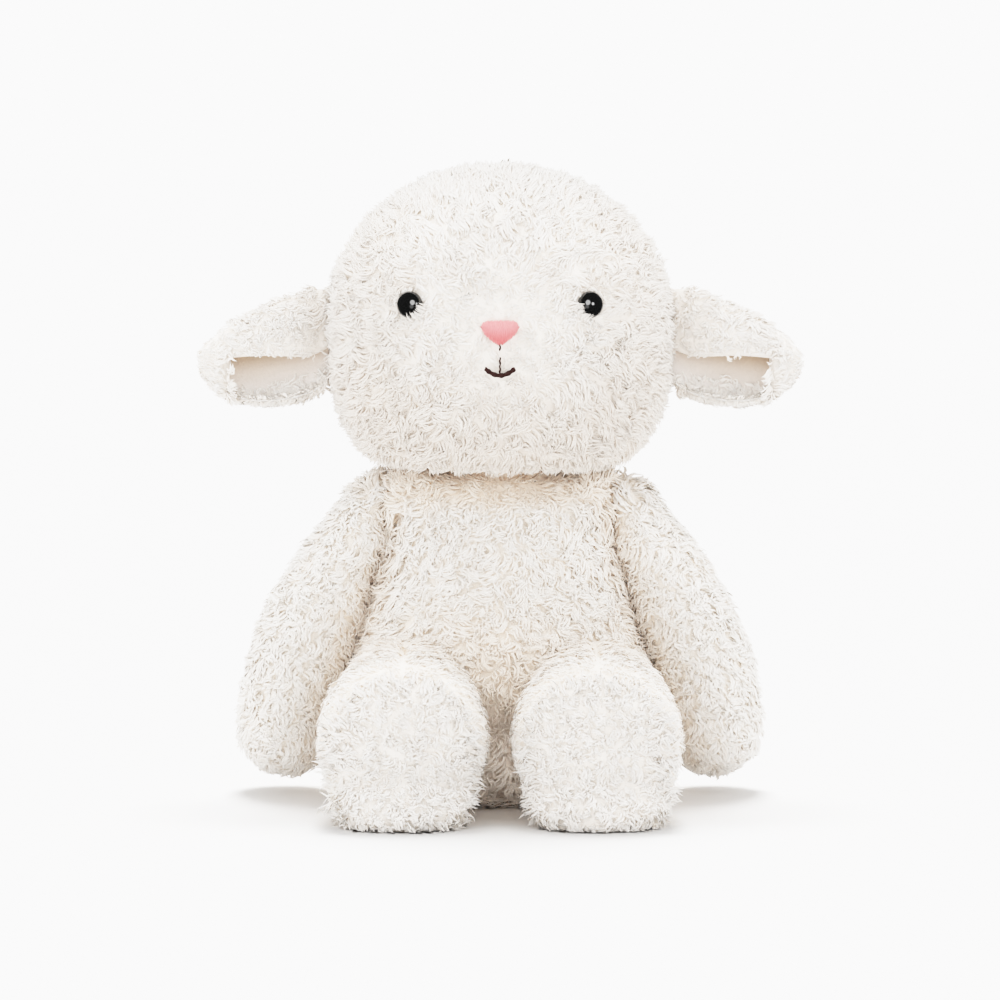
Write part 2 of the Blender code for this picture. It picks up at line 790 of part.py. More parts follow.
def pivot_frame(name, pivot, parent):
    """An empty on a joint's axis, placed in the parent's frame."""
    made = bpy.data.objects.new(name, None)
    made.empty_display_size = CLOTH
    bpy.context.scene.collection.objects.link(made)
    made.parent = parent
    made.location = pivot - (Vector(parent["pivot"]) if parent else Vector())
    made["pivot"] = tuple(pivot)
    return made


def settle(pieces, frame):
    """Gives each piece its look and hangs it on its frame, with its origin on the frame's axis."""
    pivot = Vector(frame["pivot"])
    for solid, look in pieces:
        solid.data.transform(Matrix.Translation(-pivot))
        solid.parent = frame
        solid.data.materials.clear()
        solid.data.materials.append(look)
        if solid.type == "MESH":
            solid.data.shade_smooth()
            solid.data.set_sharp_from_angle(angle=math.radians(40))


def other_side(pieces):
    return [(mirrored(solid, solid.name.replace("left", "right")), look) for solid, look in pieces]


def report_joint(name, frame, axis, limits):
    bpy.context.view_layer.update()
    spot = [round(value, 6) for value in frame.matrix_world.translation]
    print("joint", name, "at", spot, "axis", axis, "range", limits)


def main():
    for old in list(bpy.data.objects):
        bpy.data.objects.remove(old)
    for name, look in LOOKS.items():
        MATERIALS[name] = material(name, look)
    middle_y = (front_reach() - (TAIL_Y + TAIL_HALF_DEPTH)) / 2
    torso = pivot_frame("torso_frame", Vector(), None)
    torso.location = (0, middle_y, 0)
    settle(make_torso() + make_tail(), torso)
    neck = pivot_frame("neck_frame", Vector((0, 0, NECK_HEIGHT)), torso)
    settle(make_neck(), neck)
    report_joint("head_turn", neck, (0, 0, 1), HEAD_TURN)
    head = pivot_frame("head_frame", Vector((0, 0, NECK_HEIGHT)), neck)
    settle(make_head() + make_nose() + make_mouth(), head)
    report_joint("head_nod", head, (-1, 0, 0), HEAD_NOD)
    ear_root = (HEAD_HALF_WIDTH + SEAM_GAP + EAR_ROOT_ROUND, HEAD_Y, EAR_HEIGHT)
    shoulder = (SHOULDER_X, 0, SHOULDER_HEIGHT)
    hip = (LEG_X, 0, HIP_HEIGHT)
    limbs = (
        ("ear", make_ear, head, ear_root, {1: (0, 0, -1), -1: (0, 0, 1)}, EAR_SWING),
        ("arm", make_arm, torso, shoulder, {1: (-1, 0, 0), -1: (-1, 0, 0)}, ARM_SWING),
        ("leg", make_leg, torso, hip, {1: (1, 0, 0), -1: (1, 0, 0)}, LEG_SWING),
    )
    for limb, make, carrier, spot, axes, limits in limbs:
        left = make()
        for side, label, pieces in ((1, "left", left), (-1, "right", other_side(left))):
            pivot = Vector((side * spot[0], spot[1], spot[2]))
            frame = pivot_frame(f"{limb}_{label}_frame", pivot, carrier)
            settle(pieces, frame)
            report_joint(f"{limb}_{label}_swing", frame, axes[side], limits)


LOOKS = {
    "white_pile": WHITE_PILE,
    "cream_pile": CREAM_PILE,
    "lining_cloth": LINING_CLOTH,
    "fibrefill": FIBREFILL,
    "pellet_cloth": PELLET_CLOTH,
    "eye_black": EYE_BLACK,
    "washer_plastic": WASHER_PLASTIC,
    "nose_thread": NOSE_THREAD,
    "mouth_thread": MOUTH_THREAD,
}
MATERIALS = {}

main()
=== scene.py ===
"""Dresses the plush sheep: curly pile on every stuffed form, smooth ear linings, glossy eyes,
a satin-stitched nose, a sewn mouth, and a pale studio. Metres, +Z up, the face towards -Y."""

import json
import math

import bmesh
import bpy
import numpy as np
from mathutils import Matrix, Vector, noise
from mathutils.kdtree import KDTree


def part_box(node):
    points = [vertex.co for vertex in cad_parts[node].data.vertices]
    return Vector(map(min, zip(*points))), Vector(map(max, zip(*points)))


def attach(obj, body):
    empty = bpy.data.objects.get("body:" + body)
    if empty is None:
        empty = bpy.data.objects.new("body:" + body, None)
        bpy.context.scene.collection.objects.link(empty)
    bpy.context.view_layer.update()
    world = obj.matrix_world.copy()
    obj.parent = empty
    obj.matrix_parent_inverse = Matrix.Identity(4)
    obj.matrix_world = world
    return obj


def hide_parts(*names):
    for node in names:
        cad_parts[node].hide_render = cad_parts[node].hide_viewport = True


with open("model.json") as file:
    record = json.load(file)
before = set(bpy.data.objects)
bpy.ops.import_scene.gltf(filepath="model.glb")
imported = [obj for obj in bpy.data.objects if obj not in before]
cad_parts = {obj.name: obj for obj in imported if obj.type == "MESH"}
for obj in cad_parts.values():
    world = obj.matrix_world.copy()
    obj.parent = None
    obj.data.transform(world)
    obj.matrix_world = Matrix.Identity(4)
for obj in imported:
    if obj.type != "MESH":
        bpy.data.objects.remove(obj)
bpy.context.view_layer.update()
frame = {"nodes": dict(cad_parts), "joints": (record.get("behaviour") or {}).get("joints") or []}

bl_info = {
    "name": "Plush sheep",
    "version": (1, 0, 0),
    "blender": (4, 5, 0),
    "location": "View3D > Sidebar > Plush sheep",
    "description": "Curly pile, ear linings, eyes, sewn nose and mouth for a seated plush sheep",
    "category": "Object",
}

MM = 0.001


# Places read from the frame
def joint_spot(name):
    for joint in frame["joints"]:
        if joint["name"] == name:
            return Vector(joint["pos_m"])
    raise RuntimeError(f"the frame has no joint {name}")


HIP = joint_spot("leg_left_swing")
SHOULDER = joint_spot("arm_left_swing")
NECK = joint_spot("head_turn")
EAR_ROOT = joint_spot("ear_left_swing")
MIDDLE_Y = NECK.y
BODY_LOW, BODY_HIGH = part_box("body_left_cover")
HEAD_LOW, HEAD_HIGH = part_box("head_gusset")
CHEEK_LOW, CHEEK_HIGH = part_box("head_left_cover")


class SheepPile(bpy.types.PropertyGroup):
    body_lock: bpy.props.FloatProperty(
        name="Body lock", description="Length of a lock on the body and limbs", default=0.0072, unit="LENGTH"
    )
    head_lock: bpy.props.FloatProperty(
        name="Head lock", description="Length of a lock on the head", default=0.0060, unit="LENGTH"
    )
    sole_lock: bpy.props.FloatProperty(
        name="Sole lock", description="Length of a lock on the soles", default=0.0048, unit="LENGTH"
    )
    ear_lock: bpy.props.FloatProperty(
        name="Ear lock", description="Length of a lock on the ears", default=0.0052, unit="LENGTH"
    )
    lock_radius: bpy.props.FloatProperty(
        name="Lock radius", description="Radius of a lock at its thickest", default=0.00043, unit="LENGTH"
    )
    density: bpy.props.FloatProperty(
        name="Density", description="Locks on each square millimetre", default=0.70
    )
    clump: bpy.props.FloatProperty(
        name="Clump", description="Width of a tuft that curls together", default=0.0042, unit="LENGTH"
    )
    white: bpy.props.FloatVectorProperty(
        name="White pile", description="Tip colour on the head and soles", subtype="COLOR",
        default=(0.934, 0.903, 0.862),
    )
    cream: bpy.props.FloatVectorProperty(
        name="Cream pile", description="Tip colour on the body and limbs", subtype="COLOR",
        default=(0.955, 0.924, 0.878),
    )
    # Partly the cloth's own colour, partly painted shade deep in the pile: each lock is this colour at its root
    backing_and_root_shade: bpy.props.FloatVectorProperty(
        name="Backing", description="Colour of the cloth at the foot of the pile", subtype="COLOR",
        default=(0.965, 0.895, 0.805),
    )
    lining: bpy.props.FloatVectorProperty(
        name="Lining", description="Colour of the ears' smooth lining", subtype="COLOR",
        default=(0.75, 0.685, 0.635),
    )


class SheepFace(bpy.types.PropertyGroup):
    eye_radius: bpy.props.FloatProperty(
        name="Eye radius", description="Radius of an eye's dome", default=0.0052, unit="LENGTH"
    )
    eye_black: bpy.props.FloatVectorProperty(
        name="Eye", description="Colour of the eyes", subtype="COLOR", default=(0.002, 0.002, 0.002)
    )
    nose_pink: bpy.props.FloatVectorProperty(
        name="Nose", description="Colour of the nose's thread", subtype="COLOR", default=(0.82, 0.27, 0.275)
    )
    mouth_brown: bpy.props.FloatVectorProperty(
        name="Mouth", description="Colour of the mouth's thread", subtype="COLOR",
        default=(0.034, 0.009, 0.007),
    )


class SheepStage(bpy.types.PropertyGroup):
    floor: bpy.props.FloatProperty(name="Floor", description="Paleness of the floor near the sheep", default=0.96)
    floor_far: bpy.props.FloatProperty(
        name="Floor far off", description="Paleness of the floor where it meets the backdrop", default=0.985
    )
    ambience: bpy.props.FloatProperty(
        name="Ambience", description="How bright the white studio round the sheep is", default=0.92
    )
    reflected: bpy.props.FloatProperty(
        name="Reflected", description="How bright the studio is in a reflection, beside its lamps", default=0.06
    )
    backdrop: bpy.props.FloatProperty(
        name="Backdrop", description="How bright the white backdrop looks", default=2.10
    )
    camera_distance: bpy.props.FloatProperty(
        name="Camera distance", description="From the camera to the middle of the neck",
        default=1.595, unit="LENGTH",
    )
    camera_height: bpy.props.FloatProperty(
        name="Camera height", description="Height of the camera", default=0.2505, unit="LENGTH"
    )
    camera_dip: bpy.props.FloatProperty(
        name="Camera dip", description="How far the camera looks down", default=math.radians(4.79),
        subtype="ANGLE",
    )
    lens: bpy.props.FloatProperty(
        name="Lens", description="Focal length, in millimetres", default=144.7
    )


# Skins
def object_of(bm, name):
    mesh = bpy.data.meshes.new(name)
    bm.to_mesh(mesh)
    bm.free()
    made = bpy.data.objects.new(name, mesh)
    bpy.context.scene.collection.objects.link(made)
    return made


def baked(made):
    """Replaces the object's mesh by its evaluated one, and drops the modifiers."""
    graph = bpy.context.evaluated_depsgraph_get()
    mesh = bpy.data.meshes.new_from_object(made.evaluated_get(graph))
    made.modifiers.clear()
    old = made.data
    made.data = mesh
    bpy.data.meshes.remove(old)
    return made


def skin(name, rings, level=2, closed=True):
    """A smooth skin that bridges the rings in order."""
    bm = bmesh.new()
    loops = []
    for ring in rings:
        corners = [bm.verts.new(point) for point in ring]
        pairs = list(zip(corners, corners[1:])) + ([(corners[-1], corners[0])] if closed else [])
        loops.append([bm.edges.new(pair) for pair in pairs])
    for low, high in zip(loops, loops[1:]):
        bmesh.ops.bridge_loops(bm, edges=low + high)
    if closed:
        for end in (loops[0], loops[-1]):
            bmesh.ops.edgeloop_fill(bm, edges=end)
        bmesh.ops.recalc_face_normals(bm, faces=bm.faces)
    made = object_of(bm, name)
    smooth = made.modifiers.new("Smooth", "SUBSURF")
    smooth.levels = smooth.render_levels = level
    baked(made)
    made.data.shade_smooth()
    return made


def puckered(made, depth=0.0005, size=0.009, seams=()):
    """Uneven stuffing, and a groove along each seam. A seam gives a point's distance from it."""
    bm = bmesh.new()
    bm.from_mesh(made.data)
    bm.normal_update()
    moves = []
    for vert in bm.verts:
        out = depth * noise.noise(vert.co / size)
        for seam, groove in seams:
            away = seam(vert.co)
            out -= groove * math.exp(-((away / 0.0022) ** 2))
        moves.append(vert.normal * out)
    for vert, move in zip(bm.verts, moves):
        vert.co += move
    bm.to_mesh(made.data)
    bm.free()
    return made


def arrays(mesh):
    """(corners of the triangles, their normals at the corners) of a mesh."""
    mesh.calc_loop_triangles()
    places = np.empty(len(mesh.vertices) * 3)
    mesh.vertices.foreach_get("co", places)
    normals = np.empty(len(mesh.vertices) * 3)
    mesh.vertices.foreach_get("normal", normals)
    tris = np.empty(len(mesh.loop_triangles) * 3, np.int32)
    mesh.loop_triangles.foreach_get("vertices", tris)
    tris = tris.reshape(-1, 3)
    return places.reshape(-1, 3)[tris], normals.reshape(-1, 3)[tris]


def unit(rows):
    return rows / np.maximum(np.linalg.norm(rows, axis=-1, keepdims=True), 1e-12)


def scattered(mesh, per_area, rng, share=None):
    """Even random places on a mesh, with their normals. share thins them out by place."""
    corners, normals = arrays(mesh)
    area = np.linalg.norm(np.cross(corners[:, 1] - corners[:, 0], corners[:, 2] - corners[:, 0]), axis=1) / 2
    wanted = area * per_area
    if share is not None:
        wanted = wanted * share(corners.mean(1), unit(normals.mean(1)))
    total = np.cumsum(wanted)
    count = int(total[-1])
    spots = (np.arange(count) + rng.random(count)) * total[-1] / count
    which = np.minimum(np.searchsorted(total, spots), len(total) - 1)
    a, b = rng.random(count), rng.random(count)
    over = a + b > 1
    a[over], b[over] = 1 - a[over], 1 - b[over]
    weights = np.stack([1 - a - b, a, b], 1)[:, :, None]
    return (corners[which] * weights).sum(1), unit((normals[which] * weights).sum(1))


# Locks of pile
RING_SHARES = (0.0, 0.29, 0.57, 0.81)
RADIUS_SHARES = (0.80, 1.0, 0.90, 0.62)
FAMILIES, VARIANTS = 12, 4
# A lock is a rounded ribbon over a flat one: sideways and outwards, in radii
COLUMN_SHARES = ((-1.0, -0.15), (0.0, 0.48), (1.0, -0.15), (1.0, -0.15), (-1.0, -0.15))
STRIPS = ((0, 1, 0), (1, 2, 0), (3, 4, 1))


def lock_shapes(rng):
    """Centre lines and outlines of unit locks, later families curlier. x is sideways, y along the nap and z out of the cloth."""
    steps = 40
    along = (np.arange(steps) + 0.5) / steps
    lines, outlines, facings = [], [], []
    for family in range(FAMILIES):
        curl = family / (FAMILIES - 1)
        swing, phase = 0.35 + 1.15 * curl, rng.uniform(0, math.tau)
        turns, lean = rng.uniform(0.55, 0.85) + 0.35 * curl, rng.uniform(0.5, 0.85)
        for _ in range(VARIANTS):
            rise = lean * (1 + 0.12 * rng.normal()) * (1 - along * rng.uniform(1.0, 1.3))
            rise += 0.20 * np.sin(math.tau * along * turns + phase * 1.7)
            head = swing * (1 + 0.15 * rng.normal()) * np.sin(math.tau * turns * along + phase)
            way = np.stack([np.sin(head) * np.cos(rise), np.cos(head) * np.cos(rise), np.sin(rise)], 1)
            path = np.vstack([np.zeros(3), np.cumsum(way, 0) / steps])
            places, rounds, ways = [], [], []
            for ring, thick in zip(RING_SHARES, RADIUS_SHARES):
                at = int(round(ring * steps))
                across = np.array((math.cos(head[at]), -math.sin(head[at]), 0.0))
                upward = np.cross(across, way[at])
                places.append(path[at])
                rounds.append([thick * (across * x + upward * z) for x, z in COLUMN_SHARES])
                ways.append([unit(0.6 * across * x + upward) for x, _ in COLUMN_SHARES[:3]] + [-upward, -upward])
            places.append(path[-1])
            lines.append(places)
            outlines.append(rounds)
            facings.append(ways)
    return np.array(lines), np.array(outlines), np.array(facings)


LINES, OUTLINES, FACINGS = lock_shapes(np.random.default_rng(7))


def lock_faces():
    """Triangles of one lock, and (across, along) for each of their corners."""
    wide, faces, marks = len(COLUMN_SHARES), [], []
    last = len(RING_SHARES) - 1
    for ring, share in enumerate(RING_SHARES):
        for k, (first, second, sheet) in enumerate(STRIPS):
            low, beside = ring * wide + first, ring * wide + second
            left, right = k / len(STRIPS), (k + 1) / len(STRIPS)
            if ring == last:
                faces.append((low, beside, wide * (last + 1) + sheet))
                marks += [(left, share), (right, share), ((left + right) / 2, 1.0)]
                continue
            ahead = RING_SHARES[ring + 1]
            faces += [(low, beside, beside + wide), (low, beside + wide, low + wide)]
            marks += [(left, share), (right, share), (right, ahead), (left, share), (right, ahead), (left, ahead)]
    return np.array(faces), np.array(marks)


LOCK_FACES, LOCK_MARKS = lock_faces()
# Which corners of a lock lie on its flat side, its two tips last
UNDERSIDE = np.array([k > 2 for k in range(len(COLUMN_SHARES))] * len(RING_SHARES) + [False, True])
COLUMNS, ROWS = 64, 24
# How far a lock is lit as the cloth under it would be
SOFTNESS = 0.35
# The locks' part of the map; the skin has the rest
LOCK_MAP_SHARE = 0.8


def pile_mesh(name, roots, normals, naps, lengths, radii, shapes, pulls, tints, shade_amounts, floor=0.0004, soft=SOFTNESS):
    """A mesh of one curled lock at each root, and the ways that its corners face. naps are the ways that the
    locks lie, and pulls draw their tips."""
    across = np.cross(naps, normals)
    turn = np.stack([across, naps, normals], 2)
    lines = LINES[shapes] * lengths[:, None, None]
    centres = roots[:, None, :] + np.einsum("nij,nrj->nri", turn, lines)
    share = np.array(RING_SHARES + (1.0,)) ** 2
    centres += pulls[:, None, :] * share[None, :, None]
    rounds = np.einsum("nij,nrsj->nrsi", turn, OUTLINES[shapes]) * radii[:, None, None, None]
    body = centres[:, :-1, None, :] + rounds
    points = np.concatenate([body.reshape(len(roots), -1, 3), centres[:, -1:, :], centres[:, -1:, :]], 1)
    points[:, :, 2] = np.maximum(points[:, :, 2], floor)
    facings = np.einsum("nij,nrsj->nrsi", turn, FACINGS[shapes]).reshape(len(roots), -1, 3)
    facings = np.concatenate([facings, facings[:, -4:-3], facings[:, -1:]], 1)
    soft = np.where(UNDERSIDE, 0.30, soft)[None, :, None]
    facings = unit((1 - soft) * facings + soft * normals[:, None, :])
    size = points.shape[1]
    faces = LOCK_FACES[None] + (np.arange(len(roots)) * size)[:, None, None]
    mesh = bpy.data.meshes.new(name)
    mesh.vertices.add(len(roots) * size)
    mesh.vertices.foreach_set("co", points.ravel())
    count = faces.shape[0] * faces.shape[1]
    mesh.loops.add(count * 3)
    mesh.loops.foreach_set("vertex_index", faces.ravel().astype(np.int32))
    mesh.polygons.add(count)
    mesh.polygons.foreach_set("loop_start", np.arange(0, count * 3, 3, dtype=np.int32))
    mesh.update(calc_edges=True)
    mesh.shade_smooth()
    cells = (tints * COLUMNS * ROWS).astype(int)
    column, row = cells % COLUMNS, cells // COLUMNS
    marks = np.empty((len(roots), len(LOCK_MARKS), 2))
    marks[:, :, 0] = (column[:, None] + 0.05 + 0.9 * LOCK_MARKS[None, :, 0]) / COLUMNS
    marks[:, :, 1] = (row[:, None] + 0.05 + 0.9 * LOCK_MARKS[None, :, 1]) / ROWS * LOCK_MAP_SHARE
    for layer in ("Pile", "OFBake"):
        mesh.uv_layers.new(name=layer).uv.foreach_set("vector", marks.ravel())
    # Painted shade: how deep in a fold or crease each lock grows, which darkens it towards the shade colour
    shade_amount = mesh.attributes.new("Painted shade", "FLOAT", "POINT")
    shade_amount.data.foreach_set("value", np.repeat(shade_amounts, size))
    made = bpy.data.objects.new(name, mesh)
    bpy.context.scene.collection.objects.link(made)
    return made, facings.reshape(-1, 3)


def skin_map(made, shade_depth):
    """Marks the skin as the foot of the pile, and lays it out in its own part of the bake's map."""
    mesh = made.data
    marks = mesh.uv_layers.new(name="Pile")
    marks.uv.foreach_set("vector", np.full(len(mesh.loops) * 2, (0.5, -0.5) * len(mesh.loops)).ravel())
    layer = mesh.uv_layers.new(name="OFBake")
    places = np.empty(len(mesh.vertices) * 3)
    mesh.vertices.foreach_get("co", places)
    places = places.reshape(-1, 3)
    # Painted shade on the skin, as on its locks
    shade_amount = mesh.attributes.new("Painted shade", "FLOAT", "POINT")
    shade_amount.data.foreach_set("value", shade_depth(places))
    middle, reach = (places.min(0) + places.max(0)) / 2, np.ptp(places, axis=0).max() * 1.02
    corner = np.empty(len(mesh.loops), np.int32)
    mesh.loops.foreach_get("vertex_index", corner)
    normals = np.empty(len(mesh.polygons) * 3)
    mesh.polygons.foreach_get("normal", normals)
    sizes = np.empty(len(mesh.polygons), np.int32)
    mesh.polygons.foreach_get("loop_total", sizes)
    normals = np.repeat(normals.reshape(-1, 3), sizes, axis=0)
    axis = np.abs(normals).argmax(1)
    side = axis * 2 + (normals[np.arange(len(axis)), axis] < 0)
    local = (places[corner] - middle) / reach + 0.5
    flat = np.where((axis == 0)[:, None], local[:, [1, 2]], np.where((axis == 1)[:, None], local[:, [0, 2]], local[:, [0, 1]]))
    tall = 1 - LOCK_MAP_SHARE
    uv = np.stack([(side + 0.02 + 0.96 * flat[:, 0]) / 6, LOCK_MAP_SHARE + tall * (0.02 + 0.96 * flat[:, 1])], 1)
    layer.uv.foreach_set("vector", uv.ravel())


def joined(name, parts):
    """Joins the parts into one object of that name."""
    first = parts[0]
    with bpy.context.temp_override(
        active_object=first, object=first, selected_objects=parts, selected_editable_objects=parts
    ):
        bpy.ops.object.join()
    first.name = name
    first.data.name = name
    return first


def evenly(places, normals=None):
    return np.ones(len(places))


# Nought everywhere: no painted shade, and no lift
def zero_everywhere(places):
    return np.zeros(len(places))


def pile(name, made, look, seed, lock, nap, sow=None, share=evenly, scale=None, density=1.0, radius=1.0,
         spread=0.42, loose=0.18, avoid=None, clump=1.0, shade_depth=zero_everywhere, lift=zero_everywhere,
         curl=(0, 8), tuft=0.16, extra=None, soft=SOFTNESS):
    """Plants locks on a skin. nap(p, n) is the way that the pile lies, share thins it, scale shortens it,
    shade_depth(p) is how deep in a fold it grows, which is painted on it as shade, lift(p) how far its tips
    stand out and soft how much its locks shade like the skin. Away from the face the locks are fewer and thicker."""
    pile_of = bpy.context.scene.sheep_pile
    rng = np.random.default_rng(seed)
    source = (sow or made).data

    def thinned(places, ways):
        return share(places, ways) * np.clip(0.88 - 0.8 * ways[:, 1], 0.55, 1.0)

    roots, normals = scattered(source, pile_of.density * density * 1e6, rng, thinned)
    tufts, _ = scattered(source, 1 / (pile_of.clump * clump) ** 2, rng)
    tree = KDTree(len(tufts))
    for k, spot in enumerate(tufts):
        tree.insert(spot, k)
    tree.balance()
    nearest = np.array([tree.find(spot)[1] for spot in roots])
    ways = nap(roots, normals)
    grazing = np.clip(1 - np.abs(normals[:, 1] + 0.25) / 0.35, 0, 1)
    ways[:, 1] += 1.0 * grazing
    ways = unit(ways - normals * (ways * normals).sum(1, keepdims=True))
    angle = (rng.normal(0, spread, len(tufts)))[nearest] + rng.normal(0, loose, len(roots))
    angle *= 1 - 0.5 * grazing
    side = np.cross(normals, ways)
    ways = ways * np.cos(angle)[:, None] + side * np.sin(angle)[:, None]
    family = (rng.integers(*curl, len(tufts))[nearest] * (1 - 0.6 * grazing)).astype(int)
    shapes = family * VARIANTS + rng.integers(0, VARIANTS, len(roots))
    lengths = lock * rng.uniform(0.78, 1.18, len(roots)) * rng.uniform(0.88, 1.12, len(tufts))[nearest]
    radii = pile_of.lock_radius * radius * rng.uniform(0.8, 1.2, len(roots))
    radii *= np.clip(1.15 + 0.5 * normals[:, 1], 1.0, 1.35)
    if scale is not None:
        shares = scale(roots)
        lengths, radii = lengths * shares, radii * (0.45 + 0.55 * shares)
    pulls = (tufts[nearest] - roots) * 0.5
    pulls -= normals * (pulls * normals).sum(1, keepdims=True)
    pulls += normals * (lengths * (lift(roots) + rng.uniform(0, tuft, len(tufts))[nearest]))[:, None]
    tints = np.clip(0.5 * rng.random(len(tufts))[nearest] + 0.5 * rng.random(len(roots)), 0, 0.9999)
    keep = np.ones(len(roots), bool) if avoid is None else avoid(roots, ways, lengths)
    values = (roots - normals * 0.0003, normals, ways, lengths, radii, shapes, pulls, tints, shade_depth(roots))
    values = [value[keep] for value in values]
    if extra:
        values = [np.concatenate(pair) for pair in zip(values, extra)]
    locks, facings = pile_mesh(name + "_locks", *values, soft=soft)
    skin_map(made, shade_depth)
    for part in (made, locks):
        part.data.materials.clear()
        part.data.materials.append(look)
    flat = np.empty(len(made.data.vertices) * 3)
    made.data.vertices.foreach_get("normal", flat)
    whole = joined(name, [made, locks])
    whole.data.normals_split_custom_set_from_vertices(np.vstack([flat.reshape(-1, 3), facings]))
    return whole


# Materials
def group(name, inputs, outputs):
    made = bpy.data.node_groups.new(name, "ShaderNodeTree")
    for label, kind, value in inputs:
        made.interface.new_socket(label, in_out="INPUT", socket_type=kind).default_value = value
    for label, kind in outputs:
        made.interface.new_socket(label, in_out="OUTPUT", socket_type=kind)
    return made


def node(tree, kind, **values):
    made = tree.nodes.new(kind)
    for key, value in values.items():
        setattr(made, key, value)
    return made


def pile_tone():
    """Shared colour of a lock from its foot to its tip, with its own tint, and of the cloth between. The foot colour is
    partly the cloth's own and partly painted shade deep in the pile, and painted shade is mixed in deep in folds and
    creases.
    """
    if "Pile tone" in bpy.data.node_groups:
        return bpy.data.node_groups["Pile tone"]
    made = group(
        "Pile tone",
        (
            ("Foot", "NodeSocketColor", (0.8, 0.7, 0.6, 1)),
            ("Tip", "NodeSocketColor", (0.92, 0.9, 0.87, 1)),
            ("Tint", "NodeSocketColor", (0.93, 0.86, 0.80, 1)),
            ("Variation", "NodeSocketFloat", 0.5),
            ("Shade colour", "NodeSocketColor", (0.91, 0.79, 0.665, 1)),
        ),
        (("Color", "NodeSocketColor"), ("Strand", "NodeSocketFloat")),
    )
    links = made.links
    enter, leave = node(made, "NodeGroupInput"), node(made, "NodeGroupOutput")
    marks = node(made, "ShaderNodeUVMap", uv_map="Pile")
    split = node(made, "ShaderNodeSeparateXYZ")
    links.new(marks.outputs[0], split.inputs[0])

    def maths(operation, a, b=0.0, clamp=False):
        step = node(made, "ShaderNodeMath", operation=operation, use_clamp=clamp)
        for socket, value in zip(step.inputs, (a, b)):
            if isinstance(value, (int, float)):
                socket.default_value = value
            else:
                links.new(value, socket)
        return step.outputs[0]

    rows = maths("MULTIPLY", split.outputs[1], ROWS / LOCK_MAP_SHARE)
    along = maths("FRACT", rows)
    on_lock = maths("GREATER_THAN", split.outputs[1], 0.0)
    along = maths("MULTIPLY", along, on_lock)
    columns = maths("MULTIPLY", split.outputs[0], COLUMNS)
    cell = node(made, "ShaderNodeCombineXYZ")
    links.new(maths("FLOOR", columns), cell.inputs[0])
    links.new(maths("FLOOR", rows), cell.inputs[1])
    own = node(made, "ShaderNodeTexWhiteNoise", noise_dimensions="2D")
    links.new(cell.outputs[0], own.inputs[0])
    # Each lock runs from the foot colour at its root, partly painted shade deep in the pile, to the tip colour
    blend = node(made, "ShaderNodeValToRGB")
    blend.color_ramp.elements[0].position = 0.05
    blend.color_ramp.elements[1].position = 0.70
    blend.color_ramp.interpolation = "EASE"
    links.new(along, blend.inputs[0])
    body = node(made, "ShaderNodeMix", data_type="RGBA")
    links.new(blend.outputs[0], body.inputs[0])
    links.new(enter.outputs["Foot"], body.inputs[6])
    links.new(enter.outputs["Tip"], body.inputs[7])
    tinted = node(made, "ShaderNodeMix", data_type="RGBA")
    amount = maths("MULTIPLY", maths("POWER", own.outputs[0], 2.5), enter.outputs["Variation"])
    links.new(amount, tinted.inputs[0])
    links.new(body.outputs[2], tinted.inputs[6])
    links.new(enter.outputs["Tint"], tinted.inputs[7])
    # Painted shade: the colour is drawn towards the shade colour where the mesh marks a fold or crease
    shade_amount = node(made, "ShaderNodeAttribute", attribute_name="Painted shade")
    with_shade = node(made, "ShaderNodeMix", data_type="RGBA")
    links.new(maths("MULTIPLY", shade_amount.outputs["Fac"], 0.8, clamp=True), with_shade.inputs[0])
    links.new(tinted.outputs[2], with_shade.inputs[6])
    links.new(enter.outputs["Shade colour"], with_shade.inputs[7])
    links.new(with_shade.outputs[2], leave.inputs["Color"])
    stripe = maths("SINE", maths("MULTIPLY", split.outputs[0], math.tau * COLUMNS * 9))
    links.new(maths("MULTIPLY", stripe, on_lock), leave.inputs["Strand"])
    return made


def pile_look(name, tip, foot, tint, painted_shade):
    made = bpy.data.materials.new(name)
    made.use_nodes = True
    tree = made.node_tree
    shader = tree.nodes["Principled BSDF"]
    tone = node(tree, "ShaderNodeGroup", node_tree=pile_tone())
    tone.inputs["Foot"].default_value = (*foot, 1)
    tone.inputs["Tip"].default_value = (*tip, 1)
    tone.inputs["Tint"].default_value = (*tint, 1)
    tone.inputs["Variation"].default_value = 0.6
    # The colour of the painted shade in folds and creases
    tone.inputs["Shade colour"].default_value = (*painted_shade, 1)
    cloudy = node(tree, "ShaderNodeTexNoise")
    cloudy.inputs["Scale"].default_value = 26
    cloudy.inputs["Detail"].default_value = 3
    place = node(tree, "ShaderNodeTexCoord")
    tree.links.new(place.outputs["Object"], cloudy.inputs["Vector"])
    patch = node(tree, "ShaderNodeMapRange")
    patch.inputs["From Min"].default_value = 0.3
    patch.inputs["From Max"].default_value = 0.7
    patch.inputs["To Min"].default_value = 0.93
    patch.inputs["To Max"].default_value = 1.0
    tree.links.new(cloudy.outputs[0], patch.inputs[0])
    shade = node(tree, "ShaderNodeMix", data_type="RGBA", blend_type="MULTIPLY")
    shade.inputs[0].default_value = 1.0
    tree.links.new(tone.outputs["Color"], shade.inputs[6])
    tree.links.new(patch.outputs[0], shade.inputs[7])
    tree.links.new(shade.outputs[2], shader.inputs["Base Color"])
    bump = node(tree, "ShaderNodeBump")
    bump.inputs["Strength"].default_value = 0.25
    bump.inputs["Distance"].default_value = 0.0002
    tree.links.new(tone.outputs["Strand"], bump.inputs["Height"])
    tree.links.new(bump.outputs[0], shader.inputs["Normal"])
    shader.inputs["Roughness"].default_value = 0.85
    shader.inputs["Specular IOR Level"].default_value = 0.25
    shader.inputs["Sheen Weight"].default_value = 0.8
    shader.inputs["Sheen Roughness"].default_value = 0.6
    shader.inputs["Sheen Tint"].default_value = (1.0, 0.98, 0.95, 1)
    return made


